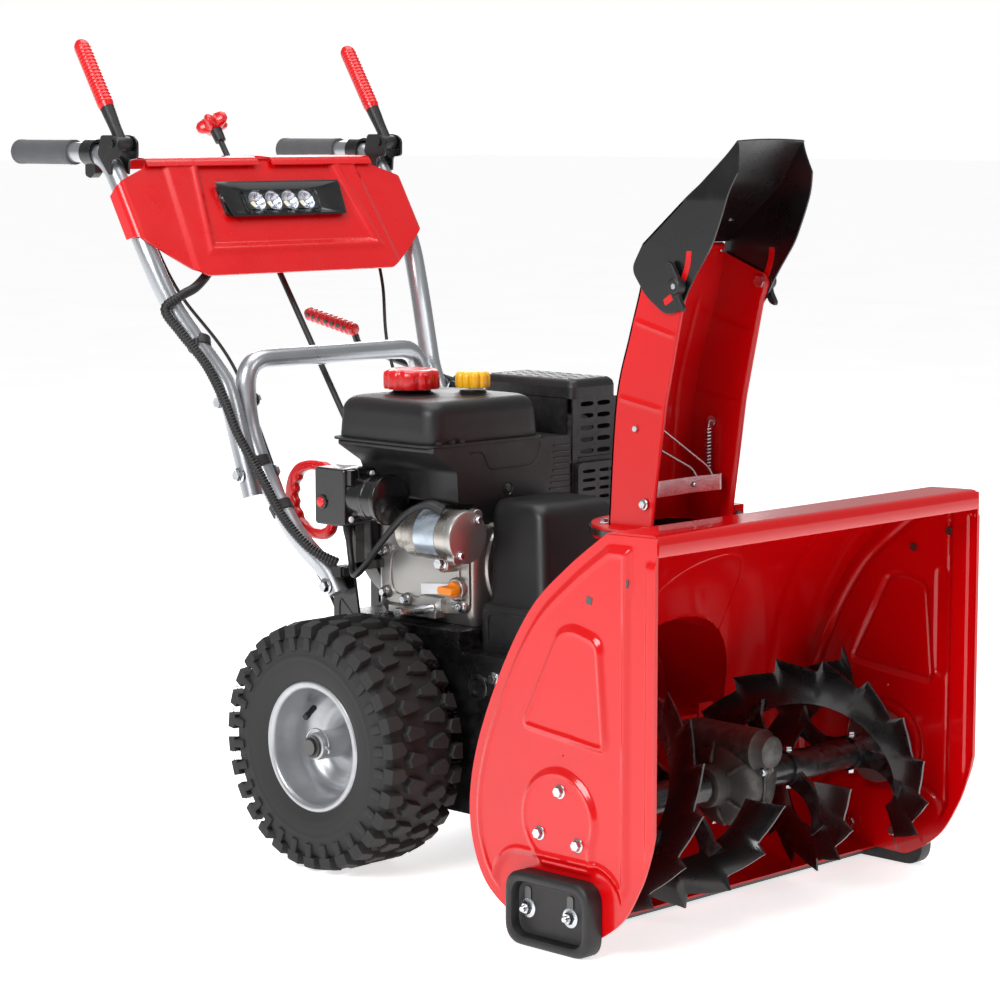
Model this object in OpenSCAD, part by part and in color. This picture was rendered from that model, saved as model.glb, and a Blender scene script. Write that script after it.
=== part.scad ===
// Two stage snowblower: auger housing and chute in front, petrol engine on a two wheel
// chassis, tube handles with a dash panel behind. Millimetres. X runs across the machine,
// -Y is the auger's mouth, +Z is up. The origin lies on the ground under the wheel axle.

/* [Overall] */
// Clearing width over the two side plates
clear_w = 620; // [540:2:760]
// Height of the handle grips above the ground
grip_z = 932; // [900:2:1120]
// Distance between the middles of the two grips
grip_w = 498; // [470:2:560]
// Length of the machine from housing mouth to grip ends
overall_l = 1272; // [1230:2:1400]

/* [Housing] */
// Thickness of the housing's steel sheet
sheet_t = 3; // [2:0.5:4]
// Thickness of a skid shoe with its rim
shoe_t = 24; // [20:1:36]
// Inside radius of the impeller drum
drum_r = 152; // [126:1:160]
// Height of the impeller's axis
impeller_z = 200; // [196:1:206]
// Radius of the auger ribbons over their teeth
auger_r = 138; // [118:1:142]
// Inner radius of the auger ribbons
ribbon_in_r = 80; // [66:1:96]
// Outside radius of the auger gearbox
gear_case_r = 54; // [48:1:60]
// Radius of the auger's shaft
auger_shaft_r = 12; // [9:0.5:14]

/* [Chute] */
// Width of the chute over its walls
chute_w = 150; // [130:2:160]
// Outside radius of the chute's ring gear
ring_r = 104; // [103:0.5:106]
// Length of the deflector's side plates above the hinge
deflector_w = 160; // [156:2:176]

/* [Wheels] */
// Radius of a tyre over its lugs
tyre_r = 165; // [137:1:175]
// Width of a tyre
tyre_w = 130; // [110:2:136]
// Distance between the middles of the two tyres
track_w = 422; // [410:2:480]
// Radius of the wheel axle
axle_r = 10; // [8:0.5:12]
// Number of lugs round a tyre
lug_count = 24; // [16:2:30]

/* [Engine] */
// Height of the crankshaft
crank_z = 426; // [420:1:432]
// Length of the fuel tank along the machine
tank_l = 186; // [160:2:190]
// Outside radius of the starter motor
starter_r = 34; // [28:1:35]

/* [Handles] */
// Outside radius of the handle tubes
tube_r = 14; // [11:0.5:14.5]
// Outside radius of the grip sleeves
grip_r = 17; // [16:0.5:19]
// Width of the dash panel
panel_w = 484; // [450:2:600]

/* [Hidden] */
$fn = 48;
half_w = clear_w / 2;
inner_w = half_w - sheet_t;
mouth_y = -overall_l / 2;
grip_end_y = overall_l / 2;
axle_z = tyre_r;
lift = grip_z - 932;              // how far the controls stand above their usual height
grip_x = grip_w / 2;
run_gap = 0.05;                   // radial clearance of a running fit
play = 0.5;                       // clearance between moving neighbours

// Auger, gearbox and impeller
auger_y = -490;
auger_z = 155;
gear_half_w = 58;
drum_rear_y = -243;
duct_y = -385;
duct_r = 92;
duct_top_z = 455;

// Chassis
plate_x = 127;
chassis_y0 = -239;
chassis_y1 = 110;
chassis_top_z = 315;
belt_bay_y = -131;
belt_bay_z = 290;
plate_t = 4;

// Belt drive
pulley_y0 = -212;
pulley_y1 = -176;
groove_ys = [-203, -185];
engine_pulley_r = 32;
impeller_pulley_r = 80;
groove_depth = 9;
crank_r = 12;
worm_shaft_r = 10;

// Chute and deflector
hinge = [-409, 819];
clamp = [-467, 776];
slot_r = norm(hinge - clamp);

// Crank: the worm at the ring gear, the joint behind it and the grip end
worm_r = 8;
worm_p = [104.9, -427.3, 464];
joint_p = [224, -171, 520];
crank_p = [228, 445, 640];

// Levers
lever_p = [grip_x, 400, 944 + lift];
lever_tip = [grip_x, 487, 1080 + lift];
shift_p = [5, 150, 345];

// ---------- helpers ----------
module xcyl(r, x0, x1, y, z) translate([x0, y, z]) rotate([0, 90, 0]) cylinder(r = r, h = x1 - x0);
module ycyl(r, y0, y1, x, z) translate([x, y0, z]) rotate([-90, 0, 0]) cylinder(r = r, h = y1 - y0);
module zcyl(r, z0, z1, x, y) translate([x, y, z0]) cylinder(r = r, h = z1 - z0);
module box(x0, x1, y0, y1, z0, z1) translate([x0, y0, z0]) cube([x1 - x0, y1 - y0, z1 - z0]);
// A prism along X on an outline of [y, z] points
module xprism(pts, x0, x1)
    translate([x0, 0, 0]) rotate([90, 0, 90]) linear_extrude(x1 - x0) polygon(pts);
// A prism along Y on an outline of [x, z] points
module yprism(pts, y0, y1)
    translate([0, y1, 0]) rotate([90, 0, 0]) linear_extrude(y1 - y0) polygon(pts);
// A cylinder from point a to point b
module rod(a, b, r) {
    v = b - a;
    translate(a) rotate([0, acos(v[2] / norm(v)), atan2(v[1], v[0])]) cylinder(r = r, h = norm(v));
}
function unit(v) = v / norm(v);
function flip(p) = [-p[0], p[1], p[2]];
function flip_all(ps) = [for (p = ps) flip(p)];
// A rounded rectangle between two corners, with k points on each round corner
function round_rect(a0, a1, b0, b1, r, k = 5) = [
    for (c = [[a1 - r, b1 - r, 0], [a0 + r, b1 - r, 90], [a0 + r, b0 + r, 180], [a1 - r, b0 + r, 270]])
    for (i = [0 : k]) [c[0] + r * cos(c[2] + 90 * i / k), c[1] + r * sin(c[2] + 90 * i / k)]];
// A smooth curve through points, with n steps between each two
function spline_at(p, i, t) =
    let (a = p[max(i - 1, 0)], b = p[i], c = p[i + 1], d = p[min(i + 2, len(p) - 1)])
    0.5 * (2 * b + (c - a) * t + (2 * a - 5 * b + 4 * c - d) * t * t
        + (3 * b - a - 3 * c + d) * t * t * t);
function spline(p, n) = concat(
    [for (i = [0 : len(p) - 2]) for (s = [0 : n - 1]) spline_at(p, i, s / n)], [p[len(p) - 1]]);
// The same open outline moved sideways by d, to the left of its direction
function shifted(p, d) = [for (i = [0 : len(p) - 1])
    let (t = unit(p[min(i + 1, len(p) - 1)] - p[max(i - 1, 0)])) p[i] + d * [-t[1], t[0]]];
function reversed(p) = [for (i = [len(p) - 1 : -1 : 0]) p[i]];
// A route with its corners turned into arcs of radius r
function bend_arc(a, b, c, r, n) =
    let (u = unit(a - b), v = unit(c - b), half = acos(u * v) / 2)
    let (o = b + unit(u + v) * r / sin(half), p = b + u * r / tan(half) - o, q = b + v * r / tan(half) - o)
    let (turn = 180 - 2 * half)
    [for (i = [0 : n]) o + (sin((1 - i / n) * turn) * p + sin(i / n * turn) * q) / sin(turn)];
function bent(p, r, n = 4) = concat([p[0]],
    [for (i = [1 : len(p) - 2]) each bend_arc(p[i - 1], p[i], p[i + 1], r, n)], [p[len(p) - 1]]);
// Frames carried along a route without twist, and the tube swept on them
function tangent(p, i) = unit(p[min(i + 1, len(p) - 1)] - p[max(i - 1, 0)]);
function carried(p, i, last) = let (t = tangent(p, i), n = unit(last - (last * t) * t))
    i == len(p) - 1 ? [n] : concat([n], carried(p, i + 1, n));
function rings(p, r, s, ns) = [for (i = [0 : len(p) - 1])
    let (t = tangent(p, i), n = ns[i], b = cross(t, n))
    for (j = [0 : s - 1]) p[i] + r * (cos(360 * j / s) * n + sin(360 * j / s) * b)];
module sweep(p, r, s = 12) {
    first = tangent(p, 0);
    ns = carried(p, 0, abs(first[0]) < 0.7 ? [1, 0, 0] : [0, 0, 1]);
    m = len(p);
    polyhedron(rings(p, r, s, ns), concat(
        [[for (j = [0 : s - 1]) j]], [[for (j = [s - 1 : -1 : 0]) (m - 1) * s + j]],
        [for (i = [0 : m - 2]) for (j = [0 : s - 1])
            [i * s + j, (i + 1) * s + j, (i + 1) * s + (j + 1) % s, i * s + (j + 1) % s]]), convexity = 6);
}

// ---------- housing ----------
back_curve = spline([[-560, 503], [-497, 457], [-437, 401], [-385, 315], [-345, 215],
    [-336, 130], [-362, 60], [-420, 24], [-480, 16]], 3);
plate_outline = concat([[mouth_y, 505]], back_curve,
    [[-529, 14], [-583, 47], [-614, 94], [-629, 132], [mouth_y, 160]]);
wrap_line = concat([[mouth_y + 0.6, 505]], [for (p = back_curve) if (p[0] < -425 && p[1] > 30 || p[1] > 24) p]);
module housing_inside(gap) xprism(concat(shifted(wrap_line, -gap), [[mouth_y - 40, 20], [mouth_y - 40, 505]]),
    -half_w, half_w);
module wrap_sheet() {
    xprism(concat(shifted(wrap_line, -1), reversed(shifted(wrap_line, -1 - sheet_t))), -inner_w, inner_w);
    box(-inner_w, inner_w, mouth_y, mouth_y + 2.5, 486, 503);
}
module housing_wrap() color("red") difference() {
    wrap_sheet();
    ycyl(drum_r - 1, -450, drum_rear_y - 20, 0, impeller_z);
}
module side_plate(s) mirror([s > 0 ? 0 : 1, 0, 0]) difference() {
    union() {
        xprism(plate_outline, inner_w, half_w);
        xcyl(62, half_w - 1, half_w + 5, auger_y, auger_z);
        xprism([[-427, 261], [-502, 382], [-554, 379], [-568, 246]], half_w - 1, half_w + 4);
        xprism(round_rect(mouth_y + 2, mouth_y + 14, 170, 490, 5.5, 3), half_w - 1, half_w + 5);
    }
    xcyl(auger_shaft_r + 4, inner_w - 1, half_w + 1, auger_y, auger_z);
    for (p = skid_bolt_places) xcyl(4.2, inner_w - 1, half_w + 9, p[0], p[1]);
    for (p = boss_bolt_places) xcyl(4.2, inner_w - 1, half_w + 9, p[0], p[1]);
    for (p = [[-540, 420], [-596, 446]]) box(inner_w - 1, half_w + 1, p[0], p[0] + 9, p[1], p[1] + 9);
}
skid_bolt_places = [[-445, 44], [-514, 44]];
boss_bolt_places = [[-493, 192], [-460, 137], [-522, 132]];
module side_plate_right() color("red") side_plate(-1);
module side_plate_left() color("red") side_plate(1);
module impeller_drum() color("red") {
    difference() {
        union() {
            ycyl(drum_r + sheet_t, -470, drum_rear_y, 0, impeller_z);
            zcyl(duct_r, impeller_z, duct_top_z, 0, duct_y);
            zcyl(100, duct_top_z, duct_top_z + 4, 0, duct_y);
        }
        ycyl(drum_r, -480, drum_rear_y - sheet_t, 0, impeller_z);
        zcyl(duct_r - sheet_t, impeller_z, duct_top_z + 5, 0, duct_y);
        ycyl(worm_shaft_r + 6, -260, -230, 0, impeller_z);
        housing_inside(0.95);
    }
    // Bracket that holds the worm against the ring gear
    difference() {
        union() {
            box(97, 132, -394, -378, duct_top_z, duct_top_z + 4);
            box(114, 132, -394, -378, duct_top_z, 484);
        }
        rod(worm_p, joint_p, 5 + run_gap);
    }
}
module scraper_bar() color("dimgray") box(-inner_w + 2, inner_w - 2, -470, -404, 6, 12);

// Bolts with a hexagon head, along X on side s
module x_bolt(s, x0, x1, y, z, r, head_r, head_h) mirror([s > 0 ? 0 : 1, 0, 0]) {
    xcyl(r, x0, x1 + 1, y, z);
    translate([x1, y, z]) rotate([0, 90, 0]) cylinder(r = head_r, h = head_h, $fn = 6);
    translate([x0 - 5, y, z]) rotate([0, 90, 0]) cylinder(r = head_r, h = 5, $fn = 6);
}
module housing_bolts() color("silver") for (s = [-1, 1]) {
    for (p = skid_bolt_places) {
        x_bolt(s, inner_w, half_w + 12, p[0], p[1], 4, 7.5, 6);
        mirror([s > 0 ? 0 : 1, 0, 0]) difference() {
            xcyl(11, half_w + 10, half_w + 12, p[0], p[1]);
            xcyl(3.9, half_w, half_w + 14, p[0], p[1]);
        }
    }
    for (p = boss_bolt_places) x_bolt(s, inner_w - 16, half_w + 5, p[0], p[1], 4, 6.5, 5);
}
module shoe_outline(inset) polygon(round_rect(-555 + inset, -417 - inset, inset, 90 - inset, 24 - inset / 2));
module skid_shoe(s) mirror([s > 0 ? 0 : 1, 0, 0]) difference() {
    translate([half_w + play, 0, 0]) rotate([90, 0, 90]) linear_extrude(shoe_t - play) shoe_outline(0);
    translate([half_w + 10, 0, 0]) rotate([90, 0, 90]) linear_extrude(40) shoe_outline(12);
    for (p = skid_bolt_places)
        translate([half_w, 0, 0]) rotate([90, 0, 90]) linear_extrude(20)
            polygon(round_rect(p[0] - 5, p[0] + 5, p[1] - 5, p[1] + 26, 4.9, 4));
}
module skid_shoe_right() color("black") skid_shoe(-1);
module skid_shoe_left() color("black") skid_shoe(1);

// ---------- gearbox, auger, impeller ----------
module gearbox_case() color("gray") difference() {
    union() {
        xcyl(gear_case_r, -28, 28, auger_y, auger_z);
        xcyl(26, -gear_half_w, gear_half_w, auger_y, auger_z);
        xcyl(gear_case_r + 6, -4, 4, auger_y, auger_z);
        ycyl(27, -556, -412, 0, impeller_z);
        for (a = [20 : 45 : 340]) xcyl(6, -9, 9, auger_y - (gear_case_r + 1) * cos(a),
            auger_z + (gear_case_r + 1) * sin(a));
    }
    xcyl(gear_case_r - 8, -21, 21, auger_y, auger_z);
    xcyl(auger_shaft_r + run_gap, -80, 80, auger_y, auger_z);
    ycyl(19, -548, -432, 0, impeller_z);
    ycyl(worm_shaft_r + run_gap, -552, -400, 0, impeller_z);
}
tube_end = inner_w - 20;
module auger_shaft() color("dimgray") {
    xcyl(auger_shaft_r, -inner_w + 2, inner_w - 2, auger_y, auger_z);
    difference() {
        xcyl(30, -11, 11, auger_y, auger_z);
        xcyl(auger_shaft_r, -20, 20, auger_y, auger_z);
    }
}
// One toothed helical ribbon: turn is its wrap in degrees, start its first angle
ribbon_steps = 44;
ribbon_turn = 250;
function ribbon_points(x0, x1, start, turn) = [for (i = [0 : ribbon_steps])
    let (a = start + turn * i / ribbon_steps, x = x0 + (x1 - x0) * i / ribbon_steps)
    let (ro = auger_r - 18 * (i % 4) / 3, t = 2)
    for (c = [[ribbon_in_r, -t], [ro, -t], [ro, t], [ribbon_in_r, t]])
        [x + c[1], auger_y + c[0] * cos(a), auger_z + c[0] * sin(a)]];
module ribbon(x0, x1, start, turn) {
    m = ribbon_steps;
    side = [for (i = [0 : m - 1]) for (j = [0 : 3])
        [i * 4 + j, (i + 1) * 4 + j, (i + 1) * 4 + (j + 1) % 4, i * 4 + (j + 1) % 4]];
    ends = [[0, 1, 2, 3], [m * 4 + 3, m * 4 + 2, m * 4 + 1, m * 4]];
    outward = concat(side, ends);
    thirds = [for (f = outward) for (k = [1, 2]) [f[0], f[k], f[k + 1]]];
    faces = turn < 0 ? thirds : [for (f = thirds) reversed(f)];
    polyhedron(ribbon_points(x0, x1, start, turn), faces, convexity = 10);
}
module auger_half(s) {
    x0 = gear_half_w + 8;
    x1 = tube_end - 6;
    difference() {
        xcyl(19, min(s * (gear_half_w + 2), s * tube_end), max(s * (gear_half_w + 2), s * tube_end),
            auger_y, auger_z);
        xcyl(auger_shaft_r, -half_w, half_w, auger_y, auger_z);
        for (k = [0.2, 0.8]) zcyl(4, 0, 400, s * (x0 + (x1 - x0) * k), auger_y);
    }
    for (k = [0, 180]) {
        ribbon(s * x0, s * x1, k, ribbon_turn);
        for (f = [0.2, 0.8]) {
            a = k + ribbon_turn * f;
            translate([s * (x0 + (x1 - x0) * f), auger_y, auger_z]) rotate([a, 0, 0])
                box(-3, 3, 17, ribbon_in_r + 10, -15, 15);
        }
    }
}
module auger_right() color("black") auger_half(-1);
module auger_left() color("black") auger_half(1);
module impeller() color("firebrick") difference() {
    union() {
        ycyl(24, -345, -258, 0, impeller_z);
        for (a = [0 : 90 : 270]) translate([0, 0, impeller_z]) rotate([0, a, 0])
            box(15, drum_r - 6, -335, -262, -2.5, 2.5);
        for (a = [0 : 90 : 270]) translate([0, 0, impeller_z]) rotate([0, a, 0])
            box(drum_r - 40, drum_r - 12, -338, -333, -2.5, 16);
    }
    ycyl(worm_shaft_r, -350, -250, 0, impeller_z);
}
// A pulley along Y with two square grooves
module pulley(r, bore) difference() {
    ycyl(r, pulley_y0, pulley_y1, 0, 0);
    for (y = groove_ys) difference() {
        ycyl(r + 1, y - 5.5, y + 5.5, 0, 0);
        ycyl(r - groove_depth, y - 6, y + 6, 0, 0);
    }
    ycyl(bore, pulley_y0 - 1, pulley_y1 + 1, 0, 0);
}
module impeller_shaft() color("silver") {
    ycyl(worm_shaft_r, -551, pulley_y1, 0, impeller_z);
    difference() {
        ycyl(13, -520, -460, 0, impeller_z);
        ycyl(worm_shaft_r, -530, -450, 0, impeller_z);
    }
    translate([0, 0, impeller_z]) pulley(impeller_pulley_r, worm_shaft_r);
}
module engine_pulley() color("silver") {
    ycyl(crank_r, -218, -84, 0, crank_z);
    translate([0, 0, crank_z]) pulley(engine_pulley_r, crank_r);
}
// A belt's loop round two pulleys one above the other, as [x, z] points
function loop_points(r1, z1, r2, z2, k = 16) =
    let (a = asin((r1 - r2) / (z2 - z1)))
    concat([for (i = [0 : k]) let (t = 180 - a + (180 + 2 * a) * i / k) [r1 * cos(t), z1 + r1 * sin(t)]],
        [for (i = [0 : k]) let (t = a + (180 - 2 * a) * i / k) [r2 * cos(t), z2 + r2 * sin(t)]]);
module drive_belts() color("black") for (y = groove_ys)
    translate([0, y + 4.5, 0]) rotate([90, 0, 0]) linear_extrude(9) difference() {
        polygon(loop_points(impeller_pulley_r - 1, impeller_z, engine_pulley_r - 1, crank_z));
        polygon(loop_points(impeller_pulley_r - 8, impeller_z, engine_pulley_r - 8, crank_z));
    }
module flange_bearing_x(s, x0, r, y, z, flange_r, h) mirror([s > 0 ? 0 : 1, 0, 0]) difference() {
    xcyl(flange_r, x0, x0 + h, y, z);
    xcyl(r + run_gap, x0 - 1, x0 + h + 1, y, z);
}
module shaft_bearings() color("gray") {
    for (s = [-1, 1]) {
        difference() {
            flange_bearing_x(s, inner_w - 16, auger_shaft_r, auger_y, auger_z, 48, 16);
            for (p = boss_bolt_places) xcyl(4.2, -half_w, half_w, p[0], p[1]);
        }
        flange_bearing_x(s, plate_x, axle_r, 0, axle_z, 26, 8);
    }
    difference() {
        ycyl(30, chassis_y0 + plate_t, chassis_y0 + plate_t + 12, 0, impeller_z);
        ycyl(worm_shaft_r + run_gap, -260, -200, 0, impeller_z);
    }
}

// ---------- chassis ----------
chassis_side = [[chassis_y0, 80], [chassis_y1, 80], [chassis_y1, 372], [70, 372],
    [60, chassis_top_z], [belt_bay_y, chassis_top_z], [belt_bay_y, belt_bay_z], [chassis_y0, belt_bay_z]];
module chassis_frame() color("black") difference() {
    union() {
        for (s = [-1, 1]) xprism(chassis_side, s > 0 ? plate_x - plate_t : -plate_x,
            s > 0 ? plate_x : plate_t - plate_x);
        box(-plate_x + 1, plate_x - 1, chassis_y0, chassis_y0 + plate_t, 80, belt_bay_z);
        box(-plate_x + 1, plate_x - 1, belt_bay_y, 107, chassis_top_z - plate_t, chassis_top_z);
        box(-plate_x + 1, plate_x - 1, belt_bay_y, belt_bay_y + plate_t, 270, chassis_top_z - 1);
        box(-plate_x + 1, plate_x - 1, chassis_y0 + 1, belt_bay_y, belt_bay_z - plate_t, belt_bay_z);
        box(-14, -4, 105, 158, 300, 312);
        box(14, 24, 105, 158, 300, 312);
        box(-14, 24, 105, 112, 300, 312);
        box(-14, -4, 142, 158, 300, 353);
        box(14, 24, 142, 158, 300, 353);
    }
    xcyl(5 + run_gap, -20, 30, shift_p[1], shift_p[2]);
    box(-88, 88, -222, -142, belt_bay_z - 9, belt_bay_z + 5);
    ycyl(worm_shaft_r + 6, -250, -220, 0, impeller_z);
    xcyl(axle_r + 2, -140, 140, 0, axle_z);
    xcyl(4.3, -140, 140, 92, 355);
    xcyl(5, -140, 140, -92, 235);
}
module chassis_cover() color("black") box(-plate_x, plate_x, chassis_y0, chassis_y1, 77, 80);
module transmission() color("gray") difference() {
    union() {
        box(-55, 55, -62, 62, 80, 222);
        zcyl(24, 222, 250, 0, 0);
    }
    xcyl(axle_r + play, -60, 60, 0, axle_z);
    box(-48, 48, -55, 55, 87, 215);
}

// ---------- wheels ----------
side_x = track_w / 2;
half_t = tyre_w / 2;
bead_x = half_t - 12;
rim_r = 77;
body_r = tyre_r - 7;
module turned_x(s, pts) mirror([s > 0 ? 0 : 1, 0, 0])
    translate([side_x, 0, axle_z]) rotate([0, 90, 0]) rotate_extrude($fn = 64) polygon(pts);
module rim(s) {
    turned_x(s, [[rim_r - 3, -bead_x - 4], [rim_r + 10, -bead_x - 4], [rim_r + 10, -bead_x], [rim_r, -bead_x],
        [rim_r, bead_x], [rim_r + 10, bead_x], [rim_r + 10, bead_x + 4], [rim_r - 3, bead_x + 4],
        [rim_r - 3, 4], [45, -8], [18, -8], [18, half_t - 12], [axle_r, half_t - 12],
        [axle_r, 12 - half_t], [18, 12 - half_t], [18, -11], [46, -11], [rim_r - 3, 0.5]]);
}
// Ring of square lugs as an outline in the wheel's plane
function lug_ring(shift) = [for (i = [0 : lug_count - 1]) for (k = [0 : 3])
    let (a = 360 / lug_count * (i + shift + [-0.30, -0.27, 0.27, 0.30][k]))
    (k == 0 || k == 3 ? body_r - 3 : tyre_r / cos(0.27 * 360 / lug_count)) * [cos(a), sin(a)]];
module tyre(s) difference() {
    union() {
        turned_x(s, [[rim_r, -bead_x + 6], [rim_r, -bead_x], [rim_r + 11, -bead_x], [rim_r + 24, 4 - half_t],
            [rim_r + 48, 2 - half_t], [body_r - 12, 4 - half_t], [body_r - 2, 12 - half_t], [body_r, 0],
            [body_r - 2, half_t - 12], [body_r - 12, half_t - 4], [rim_r + 48, half_t - 2],
            [rim_r + 24, half_t - 4], [rim_r + 11, bead_x], [rim_r, bead_x], [rim_r, bead_x - 6],
            [rim_r + 24, half_t - 12], [rim_r + 48, half_t - 10], [body_r - 16, half_t - 12],
            [body_r - 8, half_t - 20], [body_r - 8, 20 - half_t], [body_r - 16, 12 - half_t],
            [rim_r + 48, 10 - half_t], [rim_r + 24, 12 - half_t]]);
        for (b = [[-half_t, 18 - half_t, 0], [22 - half_t, half_t - 22, 0.5], [half_t - 18, half_t, 0]])
            translate([s * side_x + b[0], 0, axle_z]) rotate([0, 90, 0]) linear_extrude(b[1] - b[0])
                difference() {
                    polygon(lug_ring(b[2]));
                    circle(r = body_r - 7);
                }
    }
    xcyl(rim_r, -half_w, half_w, 0, axle_z);
}
module tyre_right() color([0.08, 0.08, 0.08]) tyre(-1);
module tyre_left() color([0.08, 0.08, 0.08]) tyre(1);
module rim_right() color("silver") rim(-1);
module rim_left() color("silver") rim(1);
axle_end = side_x + half_t - 4;
module collar_x(s, x0, x1) mirror([s > 0 ? 0 : 1, 0, 0]) difference() {
    xcyl(15, x0, x1, 0, axle_z);
    xcyl(axle_r, x0 - 1, x1 + 1, 0, axle_z);
}
module axle_shaft() color("dimgray") {
    xcyl(axle_r, -axle_end, axle_end, 0, axle_z);
    for (s = [-1, 1]) {
        collar_x(s, plate_x + 9, plate_x + 15);
        collar_x(s, axle_end - 7, axle_end - 4);
    }
}

// ---------- engine ----------
module engine_block() color("gray") difference() {
    union() {
        box(-95, 92, -126, 58, 322, 450);
        box(-84, 84, -120, 52, chassis_top_z, 322.5);
        for (z = [338 : 16 : 434]) box(91, 178, -95, 35, z, z + 6);
        box(91, 160, -80, 20, 336, 442);
        ycyl(72, -131, -125, 0, 392);
        ycyl(26, -131, -125, 0, crank_z);
        xcyl(10, -103, -94, -103, 366);
        xcyl(6, -158, -94, -57, 336);
        translate([-168, -57, 336]) rotate([0, 90, 0]) cylinder(r = 9, h = 12, $fn = 6);
    }
    ycyl(crank_r + run_gap, -140, -80, 0, crank_z);
    xcyl(6 + run_gap, -110, -84, -103, 366);
}
module dipstick() color("orange") {
    xcyl(6, -104, -86, -103, 366);
    xcyl(11, -112, -103.4, -103, 366);
    box(-126, -111, -121, -85, 362, 370);
}
module belt_cover() color("black") difference() {
    union() {
        box(-92, 92, -238, -134, belt_bay_z, 350);
        xprism([[-238, 345], [-134, 345], [-134, 484], [-214, 484], [-228, 470]], -74, 74);
    }
    box(-89, 89, -235, -137, belt_bay_z - 1, 347);
    xprism([[-235, 340], [-137, 340], [-137, 481], [-213, 481], [-225, 469]], -71, 71);
    ycyl(crank_r + 6, -140, -130, 0, crank_z);
}
tank_y0 = -118;
tank_y1 = tank_y0 + tank_l;
module fuel_tank() color([0.1, 0.1, 0.1]) difference() {
    union() {
        hull() {
            translate([0, 0, 560]) linear_extrude(38) polygon(round_rect(-163, 45, tank_y0, tank_y1, 26));
            translate([0, 0, 560]) linear_extrude(55)
                polygon(round_rect(-150, 32, tank_y0 + 13, tank_y1 - 13, 20));
        }
        translate([0, 0, 557]) linear_extrude(3.5) polygon(round_rect(-170, 51, tank_y0 - 6, tank_y1 + 6, 28));
        zcyl(22, 610, 630, -75, 10);
        zcyl(17, 610, 632, -22, -52);
    }
    box(-145, 28, tank_y0 + 16, tank_y1 - 16, 563, 609);
    zcyl(16, 600, 640, -75, 10);
    zcyl(12, 600, 640, -22, -52);
}
module cap(x, y, r, neck_r, z0, z1) difference() {
    union() {
        zcyl(r - 1.5, z0, z1, x, y);
        for (a = [0 : 30 : 330]) translate([x + (r - 3) * cos(a), y + (r - 3) * sin(a), z0 + 3])
            cylinder(r = 3, h = z1 - z0 - 6, $fn = 16);
    }
    zcyl(neck_r + play, z0 - 1, z1 - 5, x, y);
}
module fuel_cap() color("red") cap(-75, 10, 38, 22, 622, 648);
module oil_cap() color("gold") cap(-22, -52, 23.5, 17, 624, 646);
module engine_shroud() color([0.1, 0.1, 0.1]) difference() {
    union() {
        yprism([[-165, 557], [-165, 553], [-120, 524], [-120, 479], [95, 479], [95, 557]], -120, 57);
        box(-88, 95, -120, -60, 452, 480);
    }
    yprism([[-158, 554], [-117, 527], [-117, 470], [92, 470], [92, 554]], -117, 54);
    box(-85, 92, -117, -40, 450, 481);
}
module muffler_guard() color([0.1, 0.1, 0.1]) difference() {
    box(98, 186, -122, 50, 452, 630);
    box(100.5, 183.5, -119.5, 47.5, 449, 627.5);
    for (x = [112, 150]) for (z = [520 : 16 : 600]) box(x, x + 28, -125, -110, z, z + 6);
    for (x = [112, 150]) for (z = [470 : 12 : 496]) box(x, x + 22, -125, -110, z, z + 5);
    for (y = [-100 : 22 : 20]) box(112, 172, y, y + 9, 620, 635);
}
module muffler() color("dimgray") difference() {
    union() {
        ycyl(34, -92, 22, 142, 545);
        zcyl(12, 442, 520, 142, -30);
    }
    ycyl(31, -89, 19, 142, 545);
}
module starter_motor() color("silver") {
    ycyl(starter_r, -141, -58, -130, 442);
    ycyl(starter_r + 1, -150, -141, -130, 442);
    ycyl(starter_r - 4, -58, -42, -130, 442);
    difference() {
        box(-104, -95, -135, -60, 418, 466);
        ycyl(starter_r, -151, -30, -130, 442);
    }
    for (p = [[-112, 456], [-148, 428]]) ycyl(4, -154, -150, p[0], p[1]);
}
module switch_box() color("black") difference() {
    union() {
        box(-190, -131, 19, 77, 445, 521);
        ycyl(30, -28, 20, -157, 483);
        ycyl(34, -36, -28, -157, 483);
        box(-150, -134, 40, 56, 384, 446);
        box(-150, -95, 40, 56, 380, 392);
    }
    box(-187, -134, 22, 74, 448, 518);
    ycyl(26, -24, 25, -157, 483);
    xcyl(7.4, -192, -180, 62, 475);
}
module starter_button() color("red") {
    xcyl(7, -194, -184, 62, 475);
    xcyl(10, -184, -182, 62, 475);
}
module recoil_cover() color("black") difference() {
    union() {
        ycyl(106, 58.2, 96, 0, crank_z);
        ycyl(88, 96, 108, 0, crank_z);
        box(-128, -70, 66, 106, 452, 478);
    }
    ycyl(103, 50, 93, 0, crank_z);
    ycyl(84, 90, 105, 0, crank_z);
    ycyl(4, 60, 110, -120, 465);
    for (a = [0 : 45 : 315]) ycyl(12, 100, 110, 52 * cos(a), crank_z + 52 * sin(a));
}
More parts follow.
